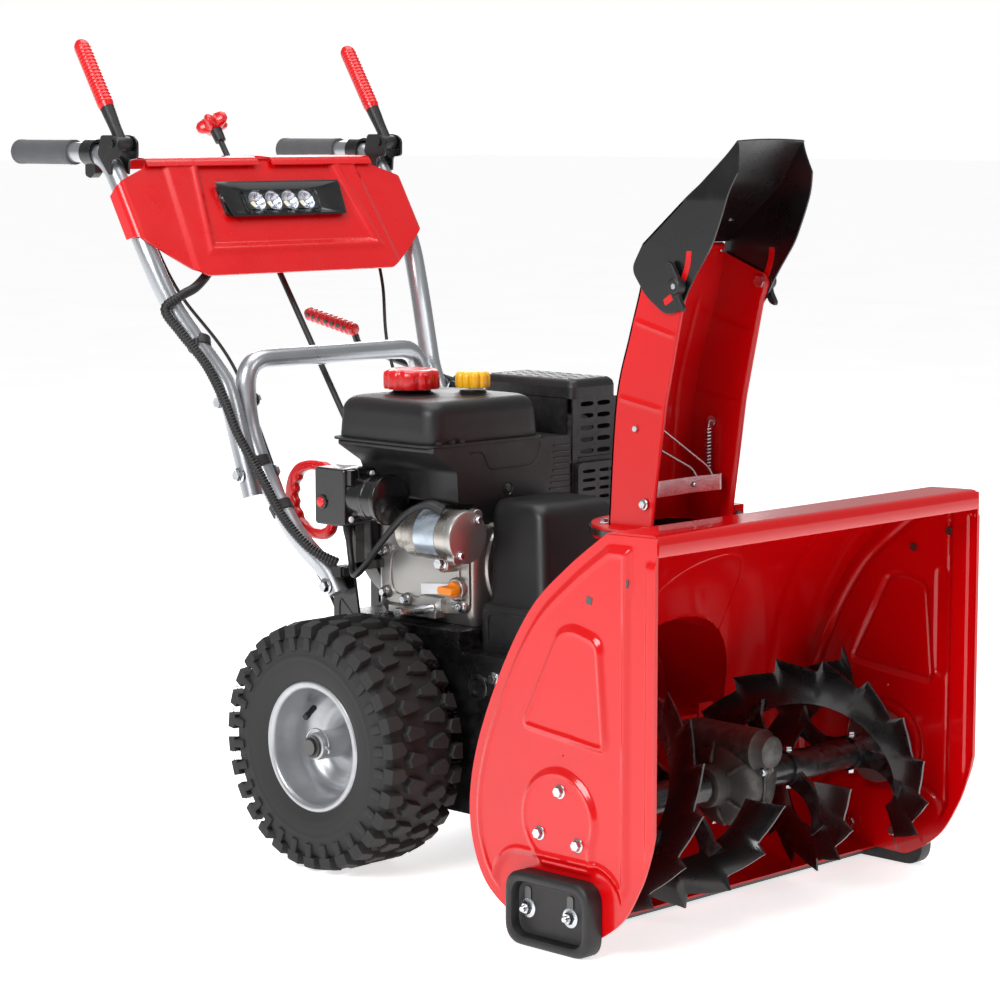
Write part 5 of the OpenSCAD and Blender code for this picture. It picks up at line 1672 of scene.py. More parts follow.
# ---------------------------------------------------------------- engine
@dataclass
class Engine:
    """The petrol engine: crankcase, tank, shroud, muffler guard, starter, switch box and covers."""

    crank: float = 426.0

    def tank(self) -> Shape:
        """The fuel tank: rounded rectangles lofted up from a flange lip to a domed top.

        Each level's outline shrinks by a quarter circle over the last stretch.

        Returns:
            The piece as a shape.
        """
        made = Shape()
        lip = [(556.8, -2.5), (557.2, 0), (559.8, 0), (560.3, -2), (560.6, -7)]
        outlines = [rect(-170 - d, 51 + d, -124 - d, 74 + d, 28, 10) for _, d in lip]
        made.loft("z", outlines, [z for z, _ in lip])
        levels, outlines = [560.5, 563], []
        insets = [0.6, 0.0]
        a = np.linspace(0, np.pi / 2, 11)
        levels += [582] + (594 + 21 * np.sin(a)).tolist()
        insets += [1.2] + (2 + 17 * (1 - np.cos(a))).tolist()
        outlines = [rect(-163 + d, 45 - d, -118 + d, 68 - d, 27, 10) for d in insets]
        made.loft("z", outlines, levels)
        for x, y, r, top in ((-75, 10, 27, 619), (-22, -52, 19, 620)):
            made.lathe([(606, 0), (606, r + 9), (614.6, r + 8), (616.4, r + 2), (617, r), (top, r - 2),
                        (top, 0)], (x, y, 0),
                       (0, 0, 1), 48)
        for x in (-152, -128, -110):
            made.prism("y", rect(x - 3, x + 3, 560, 565, 1), -123, -117.5)
        return made

    @staticmethod
    def cap(x: float, y: float, r: float, z0: float, z1: float, lobes: int, depth: float) -> Shape:
        """A scalloped screw cap of radius r - depth ((1 + cos(lobes t)) / 2)^3, domed at the top.

        Args:
            x: Its centre across.
            y: Its centre along.
            r: Its radius.
            z0: Its foot.
            z1: Its top.
            lobes: How many scallops go round.
            depth: The depth of a scallop.

        Returns:
            The piece as a shape.
        """
        t = TAU * np.arange(192) / 192
        lobe = depth * (0.5 + 0.5 * np.cos(lobes * t)) ** 3
        levels = [(z0, 4.0, 1), (z0, 1.0, 1), (z0 + 3, 0, 1), (z1 - 8, 0, 1), (z1 - 4, 1.0, 0.8),
                  (z1 - 1.4, 4.0, 0.4),
                  (z1, 9.0, 0.0), (z1 - 1.2, 12.0, 0.0)]
        rows = [np.stack([x + (r - d - lobe * k) * np.cos(t), y + (r - d - lobe * k) * np.sin(t), 0 * t + z],
                         axis=1)
                for z, d, k in levels]
        return Shape().grid(np.stack(rows), wrap_v=True, caps=True)

    def shroud(self) -> Shape:
        """The engine's black shroud under the tank, with a drawn line, ribs and a front skirt.

        Returns:
            The piece as a shape.
        """
        made = Shape()
        section = rounded([(-165, 556.5), (-165, 551), (-122, 524), (-120, 481), (-88, 479), (-88, 452),
                           (95, 452),
                           (95, 556.5)], 7, 5, True)
        tail = rounded([(-165, 556.5), (-165, 551), (-122, 524), (-120, 480.5), (-104, 479.5), (-96, 479),
                        (95, 479),
                        (95, 556.5)], 7, 5, True)
        made.loft("y", [section * (0.985, 1), section, section], [-121.5, -118.5, -62])
        made.loft("y", [tail, tail], [-63, 57])
        line = rounded([(-96, 546), (-72, 546), (-60, 522), (20, 522), (34, 534), (36, 552)], 7, 5)
        made.tube(placed("y", resampled(line, 80), -121.2), 1.3, 8, up=(0, 1, 0))
        for k in range(10):
            z = 470 + 8.2 * k
            made.tube(np.array([(50.0 + 2 * min(k, 6), -121.3, z), (93, -121.3, z)]), 1.5, 8, up=(0, 1, 0))
        return made

    def shroud_marks(self) -> tuple[Shape, Shape]:
        """Two dark round recesses on the shroud's front with a screw in each.

        Returns:
            The two shapes, in the order named.
        """
        dark, screw = Shape(), Shape()
        for x, z in ((-26, 494), (62, 467)):
            dark.lathe([(0, 0), (0, 8.5), (1.4, 8.5), (1.8, 8), (0.6, 7), (0.6, 0)], (x, -121.2, z),
                       (0, -1, 0), 32)
            screw.bolt((x, -121.6, z), (0, -1, 0), 4.4, 1.8)
        return dark, screw

    def guard(self) -> Shape:
        """The muffler guard: a rounded box open below, whose faces are slotted plates.

        Each slotted face is drawn as the frame between a cell's rectangle and its rounded slot,
        repeated over the face.

        Returns:
            The piece as a shape.
        """
        made = Shape()
        x0, x1, y0, y1, z0 = 98, 186, -122, 50, 452
        made.frame("z", rect(x0, x1, y0 + 0.2, y1, 12, 8),
                   rect(x0 + 2.5, x1 - 2.5, y0 + 2.7, y1 - 2.5, 10, 8), 604, 619)
        for lo, hi in (((x0, y0 + 12), (x0 + 2.5, y1)), ((x1 - 2.5, y0 + 12), (x1, y1))):
            made.cuboid((*lo, z0), (*hi, 605))
        made.cuboid((x0, y1 - 2.5, z0), (x1, y1, 605))
        rows = [(619, 0), (625, 1.5), (628.5, 4.5), (630, 9)]
        shell = [placed("z", rect(x0 + d, x1 - d, y0 + d, y1 - d, 12, 8), z) for z, d in rows]
        made.grid(np.stack(shell), wrap_v=True)
        self.slotted(made, "z", (x0 + 9, x1 - 9, y0 + 9, y1 - 9), (5, 8), (0.62, 0.5), (627.6, 630))
        self.slotted(made, "y", (x0 + 12, x1 - 10, 524, 604), (2, 5), (0.78, 0.42), (y0, y0 + 2.5))
        for x in (x0, x1 - 10):
            made.cuboid((x if x > x0 else x0, y0, 452), (x0 + 12 if x == x0 else x1, y0 + 2.5, 604))
        made.cuboid((x0 + 11, y0, 514), (x1 - 9, y0 + 2.5, 525))
        made.cuboid((x0 + 11, y0, 452), (x1 - 9, y0 + 2.5, 458))
        outer, hole = rect(x0 + 5, x1 - 5, 457, 517, 8, 6), rect(x0 + 12, x1 - 12, 464, 510, 6, 6)
        made.frame("y", outer, hole, y0 - 6, y0 + 1)
        self.slotted(made, "y", (x0 + 11, x1 - 11, 463, 511), (2, 4), (0.76, 0.42), (y0 - 5, y0 - 3))
        return made

    @staticmethod
    def slotted(made: Shape, plane: str, area: tuple, cells: tuple, share: tuple, levels: tuple) -> None:
        """Fill an area of a plane with cells, each a plate with one rounded slot through it.

        Args:
            made: The shape that takes the copies.
            plane: The plane: "x", "y" or "z", the axis it faces.
            area: The area, as low and high values both ways.
            cells: How many cells each way.
            share: The share of a cell that its slot takes.
            levels: The two levels of the plates.
        """
        a0, a1, b0, b1 = area
        da, db = (a1 - a0) / cells[0], (b1 - b0) / cells[1]
        for i in range(cells[0]):
            for j in range(cells[1]):
                lo, bo = a0 + i * da, b0 + j * db
                t = np.linspace(0, TAU, 24, endpoint=False) + 0.01
                c, s = np.cos(t), np.sin(t)
                k = 1 / np.maximum(np.abs(c), np.abs(s))
                edge = np.stack([lo + da / 2 * (1 + k * c), bo + db / 2 * (1 + k * s)], axis=1)
                w, h = da * share[0] / 2, db * share[1] / 2
                r = min(w, h)
                hole = np.stack([lo + da / 2 + np.clip(k * c * w, r - w, w - r) + r * c,
                                 bo + db / 2 + np.clip(k * s * h, r - h, h - r) + r * s], axis=1)
                made.frame(plane, edge, hole, *levels)

    def case(self) -> Shape:
        """The crankcase: the CAD block's form with drawn bosses, a side plate, ribs and pads.

        Returns:
            The piece as a shape.
        """
        made = Shape()
        made.loft("z", [rect(-86, 84, -120, 52, 10), rect(-90, 88, -122, 55, 12), rect(-95, 92, -125, 58, 14),
                        rect(-95, 92, -125, 58, 14), rect(-92, 90, -122, 56, 12)],
                  [315.5, 323, 332, 438, 450])
        edge = rounded([(-122, 336), (-80, 330), (-30, 334), (40, 334), (48, 370), (40, 420), (0, 440),
                        (-70, 442),
                        (-120, 430)], 16, 6, True)
        made.prism("x", edge, -98.5, -94)
        inset = rounded([(-108, 348), (-84, 342), (-40, 346), (24, 346), (30, 372), (26, 404), (-10, 414),
                         (-104, 408)], 12, 6,
                        True)
        made.frame("x", resampled(inset, 90, True),
                   resampled(inset * 0.94 + np.array([-40, 378]) * 0.06, 90, True), -101, -98)
        for y, z in ((-112, 344), (-64, 338), (-6, 342), (34, 348), (38, 404), (-112, 424)):
            made.lathe([(-104, 0), (-104, 7), (-102, 8.5), (-94, 9.5), (-94, 0)], (0, y, z), (1, 0, 0), 28)
        made.lathe([(-124, 0), (-124, 11), (-122, 12.5), (-94, 13.5), (-94, 0)], (0, -96, 402), (1, 0, 0), 32)
        made.lathe([(-107, 6.4), (-107, 14), (-105, 15.5), (-94, 16.5), (-94, 6.4)], (0, -103, 366),
                   (1, 0, 0), 36, ring=True)
        made.cuboid((-112, -72, 324), (-92, 18, 334))
        made.cuboid((-108, -78, 334), (-94, -38, 352))
        for z in range(338, 436, 13):
            made.prism("z", rect(90, 178, -95, 35, 10), z, z + 3.4)
        made.loft("x", [rect(-82, 22, 335, 442, 8), rect(-78, 18, 338, 440, 8)], [90, 158])
        made.lathe([(-132, 0), (-131, 24), (-130, 72), (-125.5, 74), (-125.5, 0)], (0, 0, 394), (0, 1, 0), 48)
        made.cuboid((-60, -131, 446), (70, -112, 452))
        return made

    def build(self) -> None:
        """Make every piece of the engine."""
        self.case().finish("engine_crankcase_casting", "frame", CAST, "cast_aluminium", "engine_block",
                           bevel=1.0)
        self.tank().finish("fuel_tank_shell", "frame", PLASTIC, "black_plastic", "fuel_tank", sharp=48)
        self.cap(-75, 10, 38, 622, 648, 9, 3.4).finish("fuel_cap_scalloped", "fuel_cap_set", RED_PLASTIC,
                                                       "red_plastic",
                                                       "fuel_cap", sharp=48)
        self.cap(-22, -52, 23.5, 624, 646, 10, 2.8).finish("oil_cap_scalloped", "oil_cap_set", YELLOW_PLASTIC,
                                                           "yellow_plastic", "oil_cap", sharp=48)
        self.shroud().finish("engine_shroud_shell", "frame", PLASTIC, "black_plastic", "engine_shroud",
                             sharp=40)
        dark, screw = self.shroud_marks()
        dark.finish("shroud_screw_recesses", "frame", GLOSS_PLASTIC, "black_gloss")
        screw.finish("shroud_screws", "frame", DARK_STEEL, "dark_steel")
        self.guard().finish("muffler_guard_louvred", "frame", PLASTIC, "black_plastic", "muffler_guard",
                            sharp=40)
        self.starter()
        self.switches()
        self.recoil()
        self.belt_cover()
        self.small_parts()

    def starter(self) -> None:
        """The starter motor: lathed barrel, end cap, band, lugs and terminal."""
        barrel = Shape().lathe([(-141, 0), (-141, 31), (-140, 33.4), (-138, 34), (-62, 34), (-60, 33),
                                (-60, 29), (-44, 28),
                                (-42, 26), (-42, 0)], (-130, 0, 442), (0, 1, 0), 72)
        barrel.finish("starter_barrel", "frame", SATIN_STEEL, "silver_paint", "starter_motor", sharp=40)
        end = Shape().lathe([(-153, 0), (-153, 31), (-151.5, 34), (-148, 35.2), (-141, 35.2), (-141, 0)],
                            (-130, 0, 442),
                            (0, 1, 0), 72)
        for x, z, r in ((-112, 468, 9), (-148, 416, 9)):
            end.lathe([(-152, 0), (-152, r - 1), (-151, r), (-140, r), (-140, 0)], (x, 0, z), (0, 1, 0), 28)
        end.cuboid((-106, -134, 420), (-95, -66, 464))
        end.finish("starter_cast_end", "frame", CAST, "cast_aluminium", bevel=0.6)
        band = Shape()
        a = np.radians(np.linspace(100, 222, 40))
        ring = [placed("y", np.stack([-130 + r * np.cos(a), 442 + r * np.sin(a)], axis=1), y)
                for r in (34.1, 34.5) for y in (-122, -84)]
        band.slab(np.stack([ring[2], ring[3]]), np.stack([ring[0], ring[1]]))
        band.finish("starter_blank_band", "frame", SILVER_LABEL, "silver_paint")
        screws = Shape()
        for x, z in ((-114, 464), (-146, 420)):
            screws.bolt((x, -153, z), (0, -1, 0), 5, 3.4, washer=6.4)
        screws.finish("starter_screws", "frame", ZINC, "zinc")

    def switches(self) -> None:
        """Switch box, socket drum with its flat cap, white screws and the red button."""
        box = Shape().loft("x", [rect(20.5, 75.5, 446.5, 519.5, 5), rect(19, 77, 445, 521, 5),
                                 rect(19, 77, 445, 521, 5)],
                           [-190, -188, -150])
        box.loft("x", [rect(21, 75, 447, 519, 5), rect(21, 75, 447, 519, 5)], [-150.5, -131])
        box.lathe([(-28, 0), (-28, 29), (-10, 30), (-9, 31), (-4, 31), (-3, 30), (20, 31), (20, 0)],
                  (-157, 0, 483),
                  (0, 1, 0), 56)
        box.lathe([(-36, 0), (-36, 32), (-34.8, 33.8), (-29, 34), (-27, 33), (-26, 30), (-26, 0)],
                  (-157, 0, 483), (0, 1, 0),
                  64)
        box.cuboid((-186, 10, 500), (-176, 20, 520)).cuboid((-150, 40, 384), (-134, 56, 446))
        box.cuboid((-150, 40, 380), (-95, 56, 392))
        for z in (474, 498):
            box.cuboid((-168, 74, z), (-160, 80, z + 3))
        box.prism("x", rounded([(10, 521), (10, 508), (22, 500), (30, 521)], 4, 4, True), -172, -150)
        box.finish("switch_box_shell", "frame", GLOSS_PLASTIC, "black_plastic", "switch_box", bevel=0.8,
                   sharp=40)
        screws = Shape()
        for z in (454, 512):
            screws.lathe([(0, 0), (0, 4.2), (1.4, 4.0), (2.0, 3), (2.0, 0)], (-178, 18.9, z), (0, -1, 0), 20)
        screws.bolt((-150, 8.5, 514), (0, -1, 0), 4, 2.5)
        screws.finish("switch_box_screws", "frame", LABEL, "zinc")
        button = Shape().lathe([(0, 0), (0, 6.8), (9.5, 6.8), (10.8, 5.6), (11.3, 3), (11.3, 0)],
                               (-184, 62, 475), (-1, 0, 0), 32)
        button.finish("starter_button_cap", "button_set", RED_PLASTIC, "red_plastic", "starter_button")
        ring = Shape().lathe([(0, 7.3), (0, 10), (2.4, 9.6), (2.6, 7.3)], (-190, 62, 475), (-1, 0, 0), 32,
                             ring=True)
        ring.finish("starter_button_bezel", "frame", GLOSS_PLASTIC, "black_gloss")

    def recoil(self) -> None:
        """The recoil cover with its louvres, and the D shaped pull with finger scallops."""
        cover = Shape().lathe([(58.3, 0), (58.3, 103), (60, 106), (88, 106), (95, 101), (97, 90), (105, 87),
                               (108, 82),
                               (108, 0)], (0, 0, self.crank), (0, 1, 0), 88)
        cover.loft("y", [rect(-128, -70, 452, 478, 5), rect(-128, -70, 452, 478, 5)], [67, 105])
        t = np.arange(20) * TAU / 20
        for a in t:
            c, s = np.cos(a), np.sin(a)
            spoke = np.array([[c, s], [-s, c]])
            flat = np.array([(30, -3), (76, -6), (76, 2), (30, 1)]) @ spoke + (0, self.crank)
            cover.prism("y", flat, 107.5, 109.6)
        cover.finish("recoil_cover_housing", "frame", BLACK_PAINT, "black_paint", "recoil_cover", bevel=0.8)
        outer = resampled(rounded([(113, 424), (128, 410), (160, 410), (190, 421), (207, 443), (212, 468),
                                   (205, 494),
                                   (187, 512), (158, 519), (128, 517), (113, 505)], 12, 6, True), 240, True)
        inner = resampled(rounded([(125, 431), (136, 425), (158, 425), (178, 433), (189, 447), (193, 468),
                                   (188, 488),
                                   (176, 500), (156, 505), (136, 503), (125, 497)], 9, 6, True), 240, True)
        back = smooth(inner[:, 0], 165, 182)
        inner[:, 0] -= back * 3.6 * (0.5 + 0.5 * np.cos(TAU * (inner[:, 1] - 444) / 15.0))
        middle = (outer + inner) / 2
        rows = []
        for a in np.linspace(0, TAU, 14, endpoint=False):
            c, s = np.cos(a), np.sin(a)
            edge = middle + (outer - inner) / 2 * np.sign(c) * np.abs(c) ** 0.6
            rows.append(placed("x", edge, -120 + 7 * np.sign(s) * np.abs(s) ** 0.6))
        pull = Shape().grid(np.stack(rows), wrap_u=True, wrap_v=True)
        pull.lathe([(72, 0), (72, 3.4), (100, 3.4), (108.6, 5.5), (116, 6.5), (118, 5), (118, 0)],
                   (-120, 0, 465), (0, 1, 0), 20)
        pull.finish("recoil_pull_grip", "recoil_set", RED_PLASTIC, "red_plastic", "recoil_handle", sharp=60)
        rope = Shape().lathe([(74, 0), (75, 2.2), (98, 2.2), (99, 0)], (-120, 0, 465), (0, 1, 0), 16)
        pulled = Stretch("frame", "recoil_set", (-120, 76, 465), (-120, 97, 465))
        rope.finish("recoil_starter_rope", pulled, RUBBER, "black_rubber")

    def belt_cover(self) -> None:
        """The belt cover: two rounded tiers, the lower one with a drawn panel."""
        made = Shape()
        low = [(290, 0), (340, 0), (346, 2), (350, 6)]
        made.loft("z", [rect(-92 + d, 92 - d, -238 + d, -134, 12, 8) for _, d in low], [z for z, _ in low])
        high = [(346, -10, 0), (352, -4, 0), (360, 0, 1), (466, 3, 8), (476, 6, 14), (482, 12, 21),
                (484, 20, 28)]
        made.loft("z", [rect(-74 + d - 2, 74 - d + 2, -237 + e, -134, 16, 8) for _, d, e in high],
                  [z for z, _, _ in high])
        panel = rect(-222, -152, 300, 338, 7, 6)
        grown = rect(-226, -148, 296, 342, 9, 6)
        made.frame("x", grown, panel, -93.4, -91)
        made.frame("x", grown, panel, 91, 93.4)
        front = rect(-60, 60, 300, 338, 7, 6)
        made.frame("y", rect(-64, 64, 296, 342, 9, 6), front, -238.6, -237)
        made.finish("belt_cover_shell", "frame", PLASTIC, "black_plastic", "belt_cover", sharp=40)

    def small_parts(self) -> None:
        """Dipstick wing, drain pipe, crankcase bolts, blank label and the zinc bracket."""
        wing = Shape().rod(-104, -86, 6, (0, -103, 366), (1, 0, 0), 20)
        wing.lathe([(-112, 0), (-112, 10), (-110.5, 11), (-107.3, 11), (-107.3, 0)], (0, -103, 366),
                   (1, 0, 0), 32)
        t = np.linspace(0, TAU, 60, endpoint=False)
        tab = np.stack([-103 + 17.5 * np.cos(t) * (1 - 0.18 * np.cos(2 * t)),
                        366 + 5.2 * np.sin(t) * (1 + 0.5 * np.cos(t) ** 2)], axis=1)
        wing.loft("x", [tab * 0.9 + np.array([-103, 366]) * 0.1, tab, tab], [-126, -124, -111])
        wing.finish("dipstick_wing", "dipstick_set", ORANGE_PLASTIC, "orange_plastic", "dipstick", sharp=50)
        zinc = Shape().lathe([(-158, 0), (-158, 7.5), (-152, 7.5), (-151, 6), (-94, 6), (-94, 0)],
                             (0, -57, 336), (1, 0, 0), 28)
        zinc.bolt((-158, -57, 336), (-1, 0, 0), 8.6, 9)
        for y, z in ((-112, 344), (-64, 338), (-6, 342), (34, 348), (38, 404), (-112, 424)):
            zinc.bolt((-104, y, z), (-1, 0, 0), 5.6, 4.5, washer=7.2)
        zinc.bolt((-124, -96, 402), (-1, 0, 0), 8, 6, washer=10)
        zinc.finish("crankcase_bolts_and_drain", "frame", ZINC, "zinc")
        label = Shape().prism("x", turned_flat(rect(-26, 26, -7, 7, 1), -6) + (-60, 362), -101.6, -101.2)
        label.finish("crankcase_blank_label", "frame", LABEL, "silver_paint")
        bracket = Shape()
        plate = rounded([(96, 456), (96, 444), (120, 438), (150, 430), (152, 446), (128, 456)], 6, 4, True)
        bracket.prism("y", plate, -131, -128)
        bracket.bolt((140, -131, 440), (0, -1, 0), 6.5, 5, washer=8.5)
        bracket.finish("muffler_bracket", "frame", ZINC, "zinc", bevel=0.5)


# ---------------------------------------------------------------- handles and controls
@dataclass
class Handles:
    """The handle tubes, the grips, the levers with their brackets, the crank's eye and the bolts."""

    tube_r: float = 14.0
    grip_x: float = 249.0
    grip_z: float = 932.0
    joint_bolts: list = field(default_factory=lambda: [(206, 500), (244, 596)])

    def lower(self) -> Shape:
        """The inverted U, bent from one tube.

        Every ring has the tube's own radius, at the feet and the bolted joints too.

        Returns:
            The piece as a shape.
        """
        leg = [(-142, 84, 345), (-144, 98, 371), (-165, 140, 416), (-165, 202, 490), (-165, 240, 560),
               (-165, 247, 651)]
        corners = np.array(leg + [(-x, y, z) for x, y, z in leg[::-1]], float)
        path = resampled(rounded(corners, 42, 10), 320)
        return Shape().tube(path, self.tube_r, 28, up=(0.0, 0.9, 0.44))

    def upper(self, side: float) -> Shape:
        """One upper tube from its joint with the frame up to the grip.

        Args:
            side: 1 for the left and -1 for the right.

        Returns:
            The piece as a shape.
        """
        corners = np.array([(195, 196, 470), (195, 240, 596), (195, 252, 622), (236, 318, 728),
                            (249, 350, 800),
                            (249, 432, 932), (249, 632, 932)], float) * (side, 1, 1)
        return Shape().tube(resampled(rounded(corners, 44, 10), 220), self.tube_r, 28, up=(1, 0, 0.02))

    def grip(self) -> Shape:
        """The left grip sleeve: a lathed foam tube with fine rings near each end.

        Returns:
            The piece as a shape.
        """
        y = np.linspace(505, 636, 110)
        r = 17.0 - 0.7 * smooth(y, 632, 636) * 6 + 0.45 * np.cos((y - 505) * 1.5) * ((y < 514) | (y > 622))
        profile = np.vstack([[(505, 14.2)], np.stack([y, r], axis=1)])
        return Shape().lathe(profile, (self.grip_x, 0, self.grip_z), (0, 1, 0), 44)

    def lever(self, side: float) -> tuple[Shape, Shape]:
        """A lever's black lower third with its hub, and its red rippled sleeve.

        Args:
            side: 1 for the left and -1 for the right.

        Returns:
            The two shapes, in the order named.
        """
        a, b = np.array([side * self.grip_x, 400, 944.0]), np.array([side * self.grip_x, 487, 1080.0])
        d = b - a
        long = np.linalg.norm(d)
        black = Shape().lathe([(-13, 4.2), (-13, 9), (-12, 10), (12, 10), (13, 9), (13, 4.2)], a, (1, 0, 0),
                              28, ring=True)
        s = np.linspace(5, 0.42 * long, 30)
        black.lathe(np.stack([s, 8.2 + 1.6 * smooth(s, 20, 60)], axis=1), a, d, 28)
        s = np.linspace(0.36 * long, long + 7, 170)
        r = 11.4 + 0.3 * np.cos(s * 1.15) * smooth(s, 0.36 * long, 0.45 * long) * (s < long - 6)
        r = r * np.sqrt(np.clip(1 - ((s - long + 6) / 14.0) ** 2 * (s > long - 6), 0.002, 1))
        r *= 0.9 + 0.1 * smooth(s, 0.36 * long, 0.4 * long)
        red = Shape().lathe(np.stack([s, r], axis=1), a, d, 36)
        return black, red

    def bracket(self) -> Shape:
        """The left lever bracket: two shaped cheeks round the tube and the pivot's ends.

        Returns:
            The piece as a shape.
        """
        cheek = rounded([(406, 900), (432, 930), (424, 956), (398, 956), (386, 948), (386, 924),
                         (404.5, 922)], 5, 4, True)
        made = Shape()
        for x in (self.grip_x - 18, self.grip_x + 14.6):
            made.prism("x", cheek, x, x + 3.4)
        made.lathe([(-21, 0), (-21, 5.5), (-18, 5.5), (-18, 3.9), (18, 3.9), (18, 5.5), (21, 5.5), (21, 0)],
                   (self.grip_x, 400, 944), (1, 0, 0), 24)
        made.collar(450, 474, (14.2, 18.4), (self.grip_x, 0, self.grip_z), (0, 1, 0), 36)
        made.prism("x", rounded([(452, 918), (474, 918), (474, 900), (462, 896), (452, 904)], 4, 4, True),
                   self.grip_x - 7,
                   self.grip_x + 7)
        return made

    def eye(self) -> Shape:
        """The eye that carries the chute crank, on a strap from the left tube.

        Returns:
            The piece as a shape.
        """
        joint, crank = np.array([224.0, -171, 520]), np.array([228.0, 445, 640])
        d = unit(crank - joint)
        at = joint + 0.643 * (crank - joint)
        made = Shape().collar(-7, 7, (6.2, 11), at, d, 32)
        made.prism("x", rounded([(218, 548), (232, 552), (232, 590), (226, 602), (216, 600)], 4, 4, True),
                   209.3, 214)
        return made

    def build(self) -> None:
        """Make the tubes, grips, levers, brackets and bolts."""
        self.lower().finish("lower_handle_tube", "frame", SILVER_PAINT, "silver_paint", "lower_handle",
                            sharp=60)
        for name, side in (("right", -1.0), ("left", 1.0)):
            self.upper(side).finish(f"upper_handle_{name}_tube", "frame", SILVER_PAINT, "silver_paint",
                                    f"upper_handle_{name}", sharp=60)
        self.grip().both().finish("handle_grip_sleeves", "frame", GRIP, "grip_rubber", "handle_grips",
                                  sharp=50)
        for node, side, body in (("drive_lever", 1.0, "drive_lever_set"),
                                 ("auger_lever", -1.0, "auger_lever_set")):
            black, red = self.lever(side)
            black.finish(f"{node}_stem", body, PLASTIC, "black_plastic", sharp=50)
            red.finish(f"{node}_sleeve", body, RED_PLASTIC, "lever_red", node, sharp=60)
        made = self.bracket().both().joined(self.eye())
        made.finish("lever_brackets_and_crank_eye", "frame", BLACK_PAINT, "black_paint", "control_brackets",
                    bevel=0.5)
        bolts = Shape()
        for y, z in self.joint_bolts:
            bolts.bolt((210, y, z), (1, 0, 0), 8, 6, washer=10.5).bolt((150, y, z), (-1, 0, 0), 8, 6,
                                                                       washer=10.5)
            bolts.rod(150, 216, 4, (0, y, z), (1, 0, 0), 16)
        bolts.bolt((157, 92, 355), (1, 0, 0), 8, 6, washer=11)
        bolts.rod(120, 160, 4, (0, 92, 355), (1, 0, 0), 16)
        bolts.both().finish("handle_joint_bolts", "frame", ZINC, "zinc", "handle_bolts")


